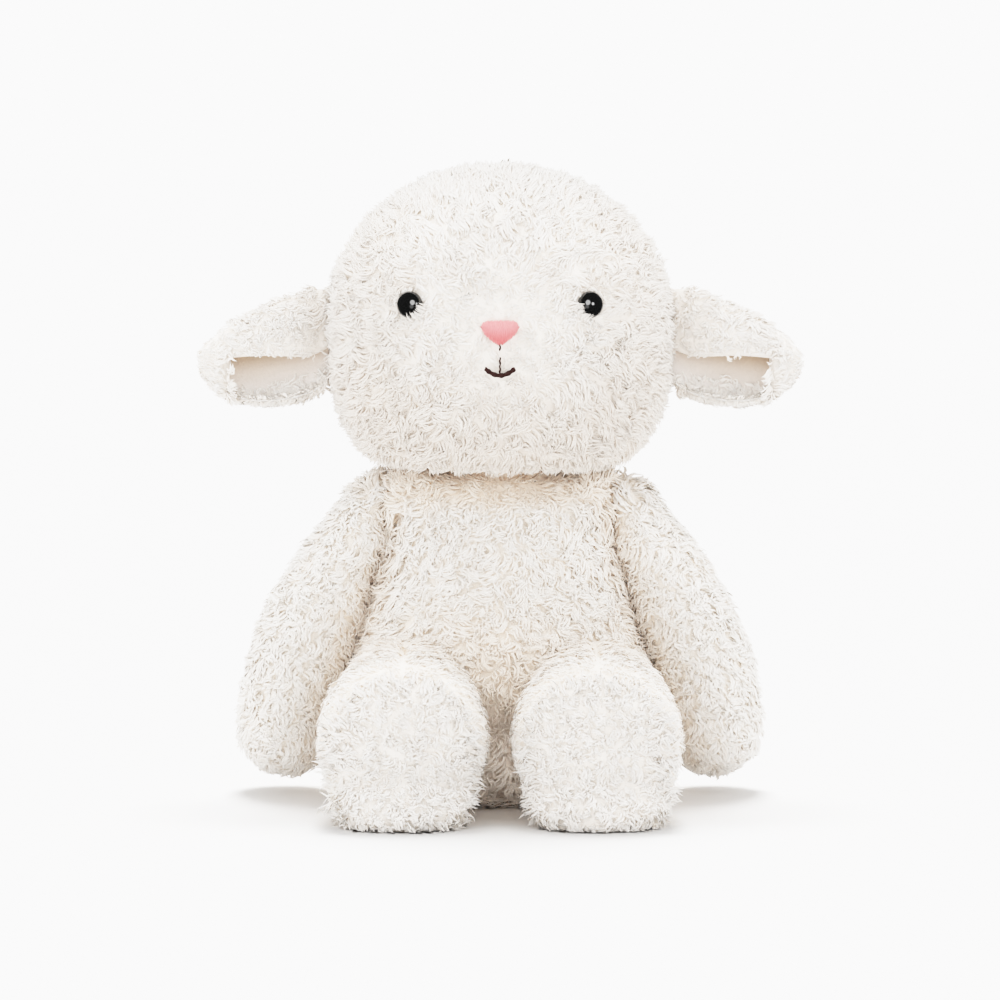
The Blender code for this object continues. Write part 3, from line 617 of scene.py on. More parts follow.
def look(name):
    """The material of that name, made the first time that it is asked for."""
    if name in bpy.data.materials:
        return bpy.data.materials[name]
    pile_of, face = bpy.context.scene.sheep_pile, bpy.context.scene.sheep_face
    # For each pile: tip, foot, tint, and last the colour of the painted shade in folds
    if name == "White pile":
        # The white pile's foot is halfway to the backing colour, which is partly painted shade
        foot = [(a + b) / 2 for a, b in zip(pile_of.white, pile_of.backing_and_root_shade)]
        return pile_look(name, pile_of.white, foot, (0.90, 0.82, 0.74), (0.80, 0.715, 0.63))
    if name == "Cream pile":
        return pile_look(name, pile_of.cream, pile_of.backing_and_root_shade, (0.90, 0.81, 0.72), (0.91, 0.79, 0.665))
    if name == "Ear lining":
        return lining_look(name, pile_of.lining)
    if name == "Eye gloss":
        return gloss_look(name, face.eye_black)
    # The nose's low colour is painted shade
    if name == "Nose satin":
        return thread_look(name, face.nose_pink, 0.38, 0.3, low=[v * f for v, f in zip(face.nose_pink, (0.95, 0.55, 0.55))])
    if name == "Mouth thread":
        return thread_look(name, face.mouth_brown, 0.7, 0.0)
    if name == "Washer plastic":
        return plain_look(name, (0.86, 0.86, 0.84), 0.45)
    raise RuntimeError(f"no material {name}")


def lining_look(name, colour):
    """Short brushed cloth with painted shade: browner in the fold under the pile, and painted palest at the lower edge,
    where it faces the light.
    """
    made = bpy.data.materials.new(name)
    made.use_nodes = True
    tree = made.node_tree
    shader = tree.nodes["Principled BSDF"]
    marks = node(tree, "ShaderNodeUVMap", uv_map="Wrap")
    split = node(tree, "ShaderNodeSeparateXYZ")
    tree.links.new(marks.outputs[0], split.inputs[0])
    # Painted shade: darkest under the pile's edge, the lining's own colour at 0.80, painted paler towards the lower
    # edge
    painted_shade = node(tree, "ShaderNodeValToRGB")
    ramp = painted_shade.color_ramp
    ramp.elements[0].position, ramp.elements[0].color = 0.46, (0.52, 0.40, 0.30, 1)
    ramp.elements[1].position, ramp.elements[1].color = 0.93, (0.88, 0.86, 0.83, 1)
    for position, tone in ((0.62, (0.67, 0.575, 0.50)), (0.80, colour)):
        ramp.elements.new(position).color = (*tone, 1)
    tree.links.new(split.outputs[1], painted_shade.inputs[0])
    place = node(tree, "ShaderNodeTexCoord")
    nap = node(tree, "ShaderNodeTexNoise")
    nap.inputs["Scale"].default_value = 900
    nap.inputs["Detail"].default_value = 4
    tree.links.new(place.outputs["Object"], nap.inputs["Vector"])
    speck = node(tree, "ShaderNodeMapRange")
    speck.inputs["To Min"].default_value = 0.90
    speck.inputs["To Max"].default_value = 1.06
    tree.links.new(nap.outputs[0], speck.inputs[0])
    shade = node(tree, "ShaderNodeMix", data_type="RGBA", blend_type="MULTIPLY")
    shade.inputs[0].default_value = 1.0
    tree.links.new(painted_shade.outputs[0], shade.inputs[6])
    tree.links.new(speck.outputs[0], shade.inputs[7])
    tree.links.new(shade.outputs[2], shader.inputs["Base Color"])
    bump = node(tree, "ShaderNodeBump")
    bump.inputs["Strength"].default_value = 0.5
    bump.inputs["Distance"].default_value = 0.0003
    tree.links.new(nap.outputs[0], bump.inputs["Height"])
    tree.links.new(bump.outputs[0], shader.inputs["Normal"])
    shader.inputs["Roughness"].default_value = 0.9
    shader.inputs["Sheen Weight"].default_value = 0.4
    shader.inputs["Sheen Roughness"].default_value = 0.4
    return made


def gloss_look(name, colour):
    made = bpy.data.materials.new(name)
    made.use_nodes = True
    tree = made.node_tree
    shader = tree.nodes["Principled BSDF"]
    shader.inputs["Base Color"].default_value = (*colour, 1)
    place = node(tree, "ShaderNodeTexCoord")
    smear = node(tree, "ShaderNodeTexNoise")
    smear.inputs["Scale"].default_value = 400
    tree.links.new(place.outputs["Object"], smear.inputs["Vector"])
    rough = node(tree, "ShaderNodeMapRange")
    rough.inputs["To Min"].default_value = 0.04
    rough.inputs["To Max"].default_value = 0.10
    tree.links.new(smear.outputs[0], rough.inputs[0])
    tree.links.new(rough.outputs[0], shader.inputs["Roughness"])
    shader.inputs["Coat Weight"].default_value = 1.0
    shader.inputs["Coat Roughness"].default_value = 0.04
    return made


def thread_look(name, colour, roughness, sheen, low=None):
    """Twisted thread: fine slanting plies along the stitch, uneven in tone. low is the colour of the painted shade at
    the nose's foot, which fades up to the thread's own colour.
    """
    made = bpy.data.materials.new(name)
    made.use_nodes = True
    tree = made.node_tree
    shader = tree.nodes["Principled BSDF"]
    marks = node(tree, "ShaderNodeUVMap", uv_map="Thread")
    wave = node(tree, "ShaderNodeTexWave", wave_type="BANDS", bands_direction="DIAGONAL")
    wave.inputs["Scale"].default_value = 1.0
    wave.inputs["Distortion"].default_value = 0.6
    tree.links.new(marks.outputs[0], wave.inputs["Vector"])
    place = node(tree, "ShaderNodeTexCoord")
    fuzz = node(tree, "ShaderNodeTexNoise")
    fuzz.inputs["Scale"].default_value = 1400
    tree.links.new(place.outputs["Object"], fuzz.inputs["Vector"])
    tone = node(tree, "ShaderNodeMapRange")
    tone.inputs["To Min"].default_value = 0.72
    tone.inputs["To Max"].default_value = 1.18
    mixed = node(tree, "ShaderNodeMath", operation="MULTIPLY_ADD")
    mixed.inputs[1].default_value = 0.5
    tree.links.new(wave.outputs[1], mixed.inputs[0])
    half = node(tree, "ShaderNodeMath", operation="MULTIPLY")
    half.inputs[1].default_value = 0.5
    tree.links.new(fuzz.outputs[0], half.inputs[0])
    tree.links.new(half.outputs[0], mixed.inputs[2])
    tree.links.new(mixed.outputs[0], tone.inputs[0])
    shade = node(tree, "ShaderNodeMix", data_type="RGBA", blend_type="MULTIPLY")
    shade.inputs[0].default_value = 1.0
    shade.inputs[6].default_value = (*colour, 1)
    # Painted shade: deeper pink low on the nose, its own pink from a third of the way above the middle
    if low:
        height = node(tree, "ShaderNodeSeparateXYZ")
        tree.links.new(place.outputs["Object"], height.inputs[0])
        rise = node(tree, "ShaderNodeMapRange", interpolation_type="SMOOTHSTEP")
        rise.inputs["From Min"].default_value = NOSE_Z - 0.5 * NOSE_TALL
        rise.inputs["From Max"].default_value = NOSE_Z + 0.35 * NOSE_TALL
        tree.links.new(height.outputs[2], rise.inputs[0])
        shade_to_light = node(tree, "ShaderNodeMix", data_type="RGBA")
        tree.links.new(rise.outputs[0], shade_to_light.inputs[0])
        shade_to_light.inputs[6].default_value = (*low, 1)
        shade_to_light.inputs[7].default_value = (*colour, 1)
        tree.links.new(shade_to_light.outputs[2], shade.inputs[6])
    tree.links.new(tone.outputs[0], shade.inputs[7])
    tree.links.new(shade.outputs[2], shader.inputs["Base Color"])
    bump = node(tree, "ShaderNodeBump")
    bump.inputs["Strength"].default_value = 0.6
    bump.inputs["Distance"].default_value = 0.0001
    tree.links.new(mixed.outputs[0], bump.inputs["Height"])
    tree.links.new(bump.outputs[0], shader.inputs["Normal"])
    shader.inputs["Roughness"].default_value = roughness
    shader.inputs["Specular IOR Level"].default_value = 0.5 if sheen else 0.15
    shader.inputs["Sheen Weight"].default_value = sheen
    return made


def plain_look(name, colour, roughness):
    made = bpy.data.materials.new(name)
    made.use_nodes = True
    tree = made.node_tree
    shader = tree.nodes["Principled BSDF"]
    place = node(tree, "ShaderNodeTexCoord")
    grain = node(tree, "ShaderNodeTexNoise")
    grain.inputs["Scale"].default_value = 700
    tree.links.new(place.outputs["Object"], grain.inputs["Vector"])
    fine = node(tree, "ShaderNodeMapRange")
    fine.inputs["To Min"].default_value = roughness - 0.05
    fine.inputs["To Max"].default_value = roughness + 0.05
    tree.links.new(grain.outputs[0], fine.inputs[0])
    tree.links.new(fine.outputs[0], shader.inputs["Roughness"])
    shader.inputs["Base Color"].default_value = (*colour, 1)
    return made


# Forms of the body, in the sizes of the frame
HIP_WIDE, HIP_ROUND = BODY_HIGH[0], HIP.z + 0.5 * MM
TORSO_TOP = BODY_HIGH[2]
# height above the hips of what is left, then width and depth of the hips' own
TORSO_SHARES = (
    (0.000, 1.000, 1.000),
    (0.140, 0.962, 0.950),
    (0.299, 0.858, 0.775),
    (0.471, 0.803, 0.730),
    (0.664, 0.753, 0.730),
    (0.824, 0.738, 0.725),
    (0.921, 0.690, 0.700),
    (0.978, 0.600, 0.650),
    (1.000, 0.520, 0.570),
)


def around(sides):
    return [math.tau * k / sides for k in range(sides)]


def level_ring(wide, deep, height, middle_y, sides=32):
    return [Vector((wide * math.cos(t), middle_y + deep * math.sin(t), height)) for t in around(sides)]


def torso_rings():
    levels = []
    low = -math.asin(HIP.z / HIP_ROUND)
    for k in range(6):
        angle = low * (1 - k / 6)
        levels.append((HIP.z + HIP_ROUND * math.sin(angle), HIP_WIDE * math.cos(angle), HIP_ROUND * math.cos(angle)))
    rise = TORSO_TOP - HIP.z
    levels += [(HIP.z + rise * up, HIP_WIDE * wide, HIP_ROUND * deep) for up, wide, deep in TORSO_SHARES]
    levels.append((TORSO_TOP, HIP_WIDE * 0.25, HIP_ROUND * 0.27))
    return [level_ring(wide, deep, height, MIDDLE_Y) for height, wide, deep in levels]


HEAD_WIDE = CHEEK_HIGH[0]
HEAD_DEEP = (CHEEK_HIGH[1] - CHEEK_LOW[1]) / 2
HEAD_Y = EAR_ROOT.y
JAW = CHEEK_LOW[2]
HEAD_FALL, HEAD_CROWN = 0.0594, 0.057
HEAD_MID = JAW + HEAD_FALL
JAW_ROUND = 0.0056
JAW_SHARES = ((0.20, 0.00), (0.400, 0.00), (0.550, 0.05), (0.665, 0.27), (0.742, 0.60))


def cheek_share(below):
    return (1 - (0.874 * below / HEAD_FALL) ** 3) ** (1 / 3)


def head_rings():
    levels = [(JAW + up * JAW_ROUND, share) for share, up in JAW_SHARES]
    fall = HEAD_FALL - JAW_ROUND
    for k in range(5):
        below = fall * (1 - k / 5) ** 0.85
        levels.append((HEAD_MID - below, cheek_share(below)))
    for k in range(8):
        angle = math.radians(86) * k / 7
        levels.append((HEAD_MID + HEAD_CROWN * math.sin(angle), math.cos(angle)))
    return [level_ring(HEAD_WIDE * share, HEAD_DEEP * share, height, HEAD_Y, 36) for height, share in levels]


def face_y(x, z):
    """Where the face's cloth lies."""
    away = z - HEAD_MID
    share = math.sqrt(max(1 - (away / HEAD_CROWN) ** 2, 0)) if away > 0 else cheek_share(-away)
    return HEAD_Y - HEAD_DEEP * math.sqrt(max(share**2 - (x / HEAD_WIDE) ** 2, 0))


EYE_X, EYE_Z = 0.0344, HEAD_MID + 0.0054
NOSE_Z, NOSE_WIDE, NOSE_TALL = HEAD_MID - 0.005, 0.00705, 0.0095
MOUTH_TOP = NOSE_Z - NOSE_TALL / 2 - 0.75 * MM
MOUTH_BOTTOM = MOUTH_TOP - 8.9 * MM
SMILE_Z, SMILE_WIDE, SMILE_RISE = MOUTH_BOTTOM - 1.9 * MM, 0.0057, 0.0027
EYE_SPOT = Vector((EYE_X, face_y(EYE_X, EYE_Z), EYE_Z))
NOSE_SPOT = Vector((0, face_y(0, NOSE_Z), NOSE_Z))


# Ears
EAR_LENGTH, EAR_HALF_HEIGHT, EAR_HALF_DEPTH, EAR_DROOP = 0.0525, 0.0185, 0.009, 0.0097
EAR_SHARES = (
    (0.000, 0.00, 0.81, 0.13),
    (0.023, 0.06, 0.88, 0.29),
    (0.067, 0.19, 0.95, 0.39),
    (0.171, 0.46, 1.02, 0.61),
    (0.362, 0.72, 1.00, 0.94),
    (0.571, 0.93, 0.94, 1.00),
    (0.762, 1.00, 0.78, 0.89),
    (0.886, 1.00, 0.58, 0.67),
    (0.962, 0.95, 0.36, 0.42),
    (1.000, 0.91, 0.16, 0.20),
)
EAR_HOLLOW_SHARES = (0.80, 0.50)


def ear_point(share, angle, tall_share, deep_share, inset=0.0):
    along, sink, tall, deep = share
    tall, deep = tall * EAR_HALF_HEIGHT, deep * EAR_HALF_DEPTH
    forward = (deep * deep_share - inset) * math.cos(angle)
    middle = EAR_ROOT.z - sink * EAR_DROOP
    x = HEAD_WIDE + 0.3 * MM + along * EAR_LENGTH
    return Vector((x, HEAD_Y - forward, middle + (tall * tall_share - inset) * math.sin(angle)))


EAR_LIP_SHARES = ((0.0, 0.17, 0.36, 0.57, 1.0), (-10, -9, 1, 10, 10))
EAR_TIP = 0.70


def ear_lip(share):
    return float(np.interp(share[0], *EAR_LIP_SHARES))


def ear_arc(side, share, angles, tall=1.0, deep=1.0, crest=0.0):
    high = crest * float(1 - eased(share[0], 0.25, 0.80))
    arc = [ear_point(share, angle, tall + high * max(math.sin(angle), 0), deep) for angle in np.radians(angles)]
    for point in arc:
        point.x *= side
    return arc


def ear_rings(side):
    """Rings of the furred roll and of its closed tip, and the open arcs that the pile grows on."""
    roll = []
    for share in EAR_SHARES:
        wrap = np.linspace(ear_lip(share), 235, 15)
        roll.append(ear_arc(side, share, wrap, 1.08, crest=0.20) + ear_arc(side, share, wrap[::-1], *EAR_HOLLOW_SHARES))
    tip_shares = [share for share in EAR_SHARES if share[0] > EAR_TIP]
    root_shares = [share for share in EAR_SHARES if share[0] <= tip_shares[0][0]]
    tip = [ear_arc(side, share, np.linspace(0, 345, 24)) for share in tip_shares]
    outside = [ear_arc(side, share, np.linspace(ear_lip(share), 235, 15), 1.08, crest=0.20) for share in root_shares]
    around_tip = [ear_arc(side, share, np.linspace(0, 360, 24)) for share in tip_shares]
    hem = [ear_arc(side, share, np.linspace(236, 294, 7)) for share in root_shares[2:]]
    return roll, tip, (outside, around_tip, hem)


def lining_arc(side, share, angles, inset):
    tall, deep = EAR_HOLLOW_SHARES
    arc = []
    for angle in np.radians(angles):
        lip = float(eased(angle, math.radians(241), math.radians(261)))
        point = ear_point(share, angle, tall + (1 - tall) * lip, deep + (1 - deep) * lip, inset)
        point.x *= side
        arc.append(point)
    return arc


def lining_rings(side):
    rings = []
    for share in EAR_SHARES[1:]:
        angles = np.linspace(ear_lip(share) + 18, 288, 22)
        rings.append(lining_arc(side, share, angles, 0.0006) + lining_arc(side, share, angles, 0.0016)[::-1])
    return rings


def hem_rings(side):
    """The lower inside of the ear, where the pile comes over the edge of the lining."""
    return [lining_arc(side, share, np.linspace(206, 296, 13), 0.0014) for share in EAR_SHARES[2:7]]


def ear_place(places):
    """How far out along the ear, and how high in its section, from -1 to 1."""
    along = (np.abs(places[:, 0]) - HEAD_WIDE) / EAR_LENGTH
    shares = np.array(EAR_SHARES).T
    middle = EAR_ROOT.z - np.interp(along, shares[0], shares[1]) * EAR_DROOP
    tall = np.interp(along, shares[0], shares[2]) * EAR_HALF_HEIGHT
    return along, (places[:, 2] - middle) / tall


# Limbs
ARM_OUT, ARM_DROP, ARM_HALF_DEPTH, PAW_DOME, SHOULDER_RADIUS = 0.058, 0.086, 0.019, 0.0184, 0.0145
ARM_SHARES = (
    (0.005, 0.169, 0.005, -0.169, 0.763),
    (0.052, 0.215, 0.138, -0.128, 0.79),
    (0.082, 0.275, 0.319, -0.006, 0.84),
    (0.118, 0.384, 0.603, 0.221, 0.92),
    (0.169, 0.535, 0.802, 0.453, 0.97),
    (0.262, 0.686, 0.922, 0.674, 1.00),
    (0.345, 0.826, 0.983, 0.872, 1.00),
    (0.393, 0.965, 1.000, 1.035, 0.95),
)


def arm_rings(side):
    sections = []
    for inner_out, inner_drop, outer_out, outer_drop, depth in ARM_SHARES:
        inner = Vector((SHOULDER.x + inner_out * ARM_OUT, 0, SHOULDER.z - inner_drop * ARM_DROP))
        outer = Vector((SHOULDER.x + outer_out * ARM_OUT, 0, SHOULDER.z - outer_drop * ARM_DROP))
        sections.append(((inner + outer) / 2, (outer - inner) / 2, depth * ARM_HALF_DEPTH))
    middle, half, depth = sections[-1]
    down = Vector((0, 1, 0)).cross(half).normalized()
    for angle in (0.42, 0.80, 1.12, 1.40):
        shift = down * PAW_DOME * math.sin(angle)
        sections.append((middle + shift, half * math.cos(angle), depth * math.cos(angle)))
    rings = []
    for middle, half, depth in sections:
        ring = [middle + half * math.cos(t) + Vector((0, MIDDLE_Y + depth * math.sin(t), 0)) for t in around(24)]
        for point in ring:
            point.x *= side
        rings.append(ring)
    return rings


FOOT_REACH, FOOT_RADIUS, SOLE_DOME, SOLE_SEAM = 0.080, 0.0323, 0.021, 0.012
LEG_SHARES = ((0.10, 0.50), (0.20, 0.66), (0.34, 0.74), (0.55, 0.79), (0.78, 0.90), (1.00, 1.00))
LEG_DROOP = math.asin(HIP_ROUND / math.hypot(FOOT_REACH, FOOT_RADIUS)) - math.atan2(FOOT_RADIUS, FOOT_REACH)


def leg_place(side):
    turn = Matrix.Rotation(math.pi / 2 + LEG_DROOP, 4, "X")
    return Matrix.Translation((side * HIP.x, HIP.y, HIP.z)) @ turn


def leg_profile():
    pairs = [(along * FOOT_REACH, radius * FOOT_RADIUS) for along, radius in LEG_SHARES]
    for angle in (0.35, 0.70, 1.00, 1.22, 1.42):
        along = FOOT_REACH + SOLE_DOME * math.sin(angle) ** 0.8
        pairs.append((along, FOOT_RADIUS * math.cos(angle) ** 0.8))
    return pairs


def leg_rings(side):
    place = leg_place(side)
    return [
        [place @ Vector((radius * math.cos(t), radius * math.sin(t), along)) for t in around(28)]
        for along, radius in leg_profile()
    ]


def cut_at(made, place, low=None, high=None):
    """Keeps what lies between two heights of a frame."""
    bm = bmesh.new()
    bm.from_mesh(made.data)
    up = (place.to_3x3() @ Vector((0, 0, 1))).normalized()
    for level, way in ((low, -1), (high, 1)):
        if level is None:
            continue
        spot = place @ Vector((0, 0, level))
        geom = list(bm.verts) + list(bm.edges) + list(bm.faces)
        cut = bmesh.ops.bisect_plane(bm, geom=geom, plane_co=spot, plane_no=up * way, clear_outer=True)
        rim = [item for item in cut["geom_cut"] if isinstance(item, bmesh.types.BMEdge)]
        bmesh.ops.holes_fill(bm, edges=rim, sides=0)
    bmesh.ops.recalc_face_normals(bm, faces=bm.faces)
    bm.to_mesh(made.data)
    bm.free()
    return made


def settled(made, place):
    """Lets the foot sag: its lower edge bulges forward over the floor."""
    for vert in made.data.vertices:
        along = (place.inverted() @ vert.co).z
        low = (1 - eased(vert.co.z, 0.002, 0.020)) * eased(along, FOOT_REACH - 0.014, FOOT_REACH + SOLE_SEAM)
        vert.co += Vector(((vert.co.x - place.translation.x) * 0.15, -0.0115, -0.0045)) * float(low)
    return made


def rested(made, floor=0.0):
    """Flattens what would reach under the floor."""
    for vert in made.data.vertices:
        vert.co.z = max(vert.co.z, floor)
    return made


def eased(values, low, high):
    share = np.clip((values - low) / (high - low), 0, 1)
    return share * share * (3 - 2 * share)


def near(places, spot, radius):
    return np.exp(-((np.linalg.norm(places - np.array(spot), axis=1) / radius) ** 2))


# How deep in a fold the pile grows, from 0 to 1, which is painted on it as shade
def body_width(places):
    heights = [HIP.z + share[0] * (TORSO_TOP - HIP.z) for share in TORSO_SHARES]
    return np.interp(places[:, 2], heights, [share[1] * HIP_WIDE for share in TORSO_SHARES])


# Painted shade on the body: beside the arms, under the chin and in the lap between the legs
def body_shade(places):
    beside = eased(np.abs(places[:, 0]) / body_width(places), 0.74, 0.98) * eased(places[:, 2], 0.045, 0.065)
    under_chin = eased(places[:, 2], 0.1155, 0.1225)
    lap = (1 - eased(places[:, 2], 0.045, 0.090)) * (0.55 + 0.45 * (1 - eased(np.abs(places[:, 0]), 0.004, 0.030)))
    lap *= 1 - 0.8 * eased(places[:, 1], MIDDLE_Y - 0.006, MIDDLE_Y + 0.012)
    lap *= 0.75 + 0.25 * eased(places[:, 2], 0.020, 0.045)
    return np.maximum(np.maximum(beside, 1.1 * under_chin), lap)


def arm_section(places):
    """How far out across the arm, from 0 at its inner side to 1, and how far under the shoulder."""
    drops = np.array([[share[1] * ARM_DROP, share[0] * ARM_OUT, share[3] * ARM_DROP, share[2] * ARM_OUT] for share in ARM_SHARES])
    drop = SHOULDER.z - places[:, 2]
    inner = np.interp(drop, drops[:, 0], drops[:, 1])
    outer = np.interp(drop, drops[:, 2], drops[:, 3])
    return (np.abs(places[:, 0]) - SHOULDER.x - inner) / np.maximum(outer - inner, 0.002), drop


# Painted shade on the arms: along their inner side and under the shoulder
def arm_shade(places):
    share, drop = arm_section(places)
    return 0.65 * (1 - eased(share, 0.05, 0.42)) * eased(drop, -0.020, 0.0) + 0.4 * (1 - eased(drop, -0.018, -0.004))


# Painted shade on the head: towards the jaw, on its sides, above and beside the eyes, on the crown and above the nose
def head_shade(places):
    shading = 1.0 * (1 - eased(places[:, 2], JAW + 0.008, JAW + 0.062))
    shading += 0.50 * (1 - eased(places[:, 2], JAW - 0.001, JAW + 0.006))
    shading += 0.55 * eased(np.abs(places[:, 0]) / HEAD_WIDE, 0.35, 0.75)
    for side in (1, -1):
        shading += 1.10 * near(places, on_face(side * EYE_X, EYE_Z + 0.0062, 0), 0.0040)
        shading += 0.30 * near(places, on_face(side * 0.018, EYE_Z + 0.0125, 0), 0.0060)
    shading += 0.35 * near(places, on_face(0, HEAD_MID + 0.033, 0), 0.0050)
    shading += 0.25 * near(places, on_face(0, NOSE_Z + 0.0065, 0), 0.0040)
    return np.clip(shading, 0, 1)


# Ways of the nap
def away_from(spot, lift=0.0):
    spot = np.array(spot)

    def nap(places, normals):
        ways = unit(places - spot)
        ways[:, 2] += lift
        return ways

    return nap


def body_nap(places, normals):
    """Down and outwards from the seam down the middle."""
    ways = np.zeros_like(places)
    ways[:, 0] = np.clip(places[:, 0] / 0.006, -1, 1) * (1.0 - 0.4 * np.minimum(np.abs(places[:, 0]) / 0.03, 1))
    ways[:, 2] = -0.6 - 0.9 * eased(places[:, 2], 0.080, 0.115)
    shoulder = eased(places[:, 2], 0.116, 0.123) * eased(np.abs(places[:, 0]), 0.020, 0.032)
    ways[:, 2] += 2.5 * shoulder
    low = (1 - eased(places[:, 2], 0.005, 0.016)) * (places[:, 1] < MIDDLE_Y)
    ways[:, 1] -= 2.5 * low
    return ways


def limb_nap(side):
    def nap(places, normals):
        ways = np.zeros_like(places)
        share, drop = arm_section(places)
        top = eased(places[:, 2], 0.108, 0.120) * (1 - eased(share, 0.35, 0.85))
        ways[:, 0] = side * (0.55 - 1.5 * np.maximum(top, 0.8 * (1 - eased(share, 0.05, 0.35))))
        ways[:, 2] = -1 + 2.0 * top
        return ways

    return nap


def head_nap(places, normals):
    """Outwards from the middle of the face, and round to the back of the neck."""
    ways = unit(places - np.array((0, HEAD_Y - HEAD_DEEP * 1.1, HEAD_MID)))
    ways[:, 2] -= 0.15
    return ways


def gaps_round(spots):
    """Leaves out locks that start on these discs, or that would lie over most of one."""

    def keep(roots, ways, lengths):
        kept = np.ones(len(roots), bool)
        tips = roots + ways * lengths[:, None] * 0.55
        for spot, foot, tip in spots:
            spot = np.array(spot)
            kept &= np.linalg.norm(roots - spot, axis=1) > foot
            kept &= np.linalg.norm(tips - spot, axis=1) > tip
        return kept

    return keep


def shorter_round(spots):
    """Shortens the pile near each spot. A spot has a place, a radius and the share there."""

    def scale(roots):
        shares = np.ones(len(roots))
        for spot, radius, least in spots:
            away = np.linalg.norm(roots - np.array(spot), axis=1) / radius
            shares = np.minimum(shares, least + (1 - least) * np.clip(away, 0, 1) ** 1.5)
        return shares

    return scale


def lay_floor():
    """A floor that runs out to the horizon."""
    bm = bmesh.new()
    bmesh.ops.create_grid(bm, x_segments=1, y_segments=1, size=60)
    return object_of(bm, "studio_floor")


def satin_nose():
    """A padded patch of side-by-side threads, an upturned rounded triangle."""
    low_edge = ((0, -0.50), (0.15, -0.48), (0.35, -0.38), (0.60, -0.24), (0.80, -0.10), (0.93, 0.05), (1, 0.18))
    top_edge = ((0, 0.50), (0.50, 0.49), (0.75, 0.465), (0.90, 0.42), (0.97, 0.34), (1, 0.25))
    threads, rows, per_thread = 30, 18, 6
    bm = bmesh.new()
    columns = []
    for k in range(threads * per_thread + 1):
        u = math.sin(math.pi / 2 * (-1 + 2 * k / (threads * per_thread)))
        bottom, top = (np.interp(abs(u), *zip(*edge)) for edge in (low_edge, top_edge))
        ridge = abs(math.sin(math.pi * k / per_thread)) ** 0.7
        ragged = 0.05 * noise.noise(Vector((math.floor(k / per_thread) * 3.7, 0, 0)))
        column = []
        for j in range(rows + 1):
            v = j / rows
            z = bottom + ragged * (1 - u**8) + (top - bottom) * v
            swell = (1 - abs(2 * v - 1) ** 3.0) * math.sqrt(max(1 - u**4, 0))
            out = 0.0006 + 0.0019 * swell + 0.00022 * ridge * min(1, 3 * swell)
            x, high = u * NOSE_WIDE * 1.02, NOSE_Z + z * NOSE_TALL
            column.append(bm.verts.new((x, face_y(x, high) - out, high)))
        columns.append(column)
    for left, right in zip(columns, columns[1:]):
        for j in range(rows):
            bm.faces.new((left[j], right[j], right[j + 1], left[j + 1]))
    bmesh.ops.recalc_face_normals(bm, faces=bm.faces)
    if sum(face.normal.y for face in bm.faces) > 0:
        bmesh.ops.reverse_faces(bm, faces=bm.faces)
    layer = bm.loops.layers.uv.new("Thread")
    for face in bm.faces:
        for corner in face.loops:
            corner[layer].uv = (corner.vert.co.x * 2600, corner.vert.co.z * 900)
    made = object_of(bm, "nose_satin")
    thick = made.modifiers.new("Padding", "SOLIDIFY")
    thick.thickness = 0.0008
    thick.offset = -1
    baked(made)
    made.data.shade_smooth()
    return made


def stitches(name, points, spans, radius):
    """Twisted stitches along the points, from share to share of the way, dipping into the cloth at their ends."""
    bm = bmesh.new()
    layer = bm.loops.layers.uv.new("Thread")
    points = np.array(points)
    gone = np.concatenate([[0], np.cumsum(np.linalg.norm(np.diff(points, axis=0), axis=1))])

    def at(distance):
        return Vector([np.interp(distance, gone, points[:, k]) for k in range(3)])

    sides, steps = 10, 10
    for start, end in spans:
        start, end = gone[-1] * start, gone[-1] * end
        rings = []
        for k in range(steps + 1):
            t = k / steps
            spot = at(start + (end - start) * t)
            ahead = (at(start + (end - start) * min(t + 0.05, 1)) - at(start + (end - start) * max(t - 0.05, 0)))
            if ahead.length < 1e-7:
                ahead = Vector((1, 0, 0))
            ahead.normalize()
            out = Vector((0, -1, 0))
            out = (out - ahead * out.dot(ahead)).normalized()
            side = ahead.cross(out)
            arch = math.sin(math.pi * t) ** 0.5
            middle = spot + out * (0.0011 * arch - 0.0003)
            wide = radius * (0.45 + 0.55 * arch)
            ring = []
            for a in around(sides):
                ply = 1 + 0.13 * math.cos(2 * a - 9 * t)
                ring.append(bm.verts.new(middle + (side * math.cos(a) + out * math.sin(a)) * wide * ply))
            rings.append(ring)
        for k in range(steps):
            for j in range(sides):
                i = (j + 1) % sides
                face = bm.faces.new((rings[k][j], rings[k][i], rings[k + 1][i], rings[k + 1][j]))
                for corner, mark in zip(face.loops, ((j, k), (j + 1, k), (j + 1, k + 1), (j, k + 1))):
                    corner[layer].uv = (mark[0] / sides * 2, mark[1] / steps * 3)
        for ring in (rings[0], rings[-1]):
            bm.faces.new(ring)
    bmesh.ops.recalc_face_normals(bm, faces=bm.faces)
    made = object_of(bm, name)
    made.data.shade_smooth()
    return made


def on_face(x, z, out):
    return (x, face_y(x, z) - out, z)


def eye_frame(side):
    outward = Vector(
        (EYE_X / HEAD_WIDE**2, (EYE_SPOT.y - HEAD_Y) / HEAD_DEEP**2, (EYE_Z - HEAD_MID) / HEAD_CROWN**2)
    )
    outward.x *= side * 0.65
    spot = Vector((side * EYE_SPOT.x, EYE_SPOT.y, EYE_SPOT.z))
    return Matrix.Translation(spot) @ outward.to_track_quat("Z", "Y").to_matrix().to_4x4()


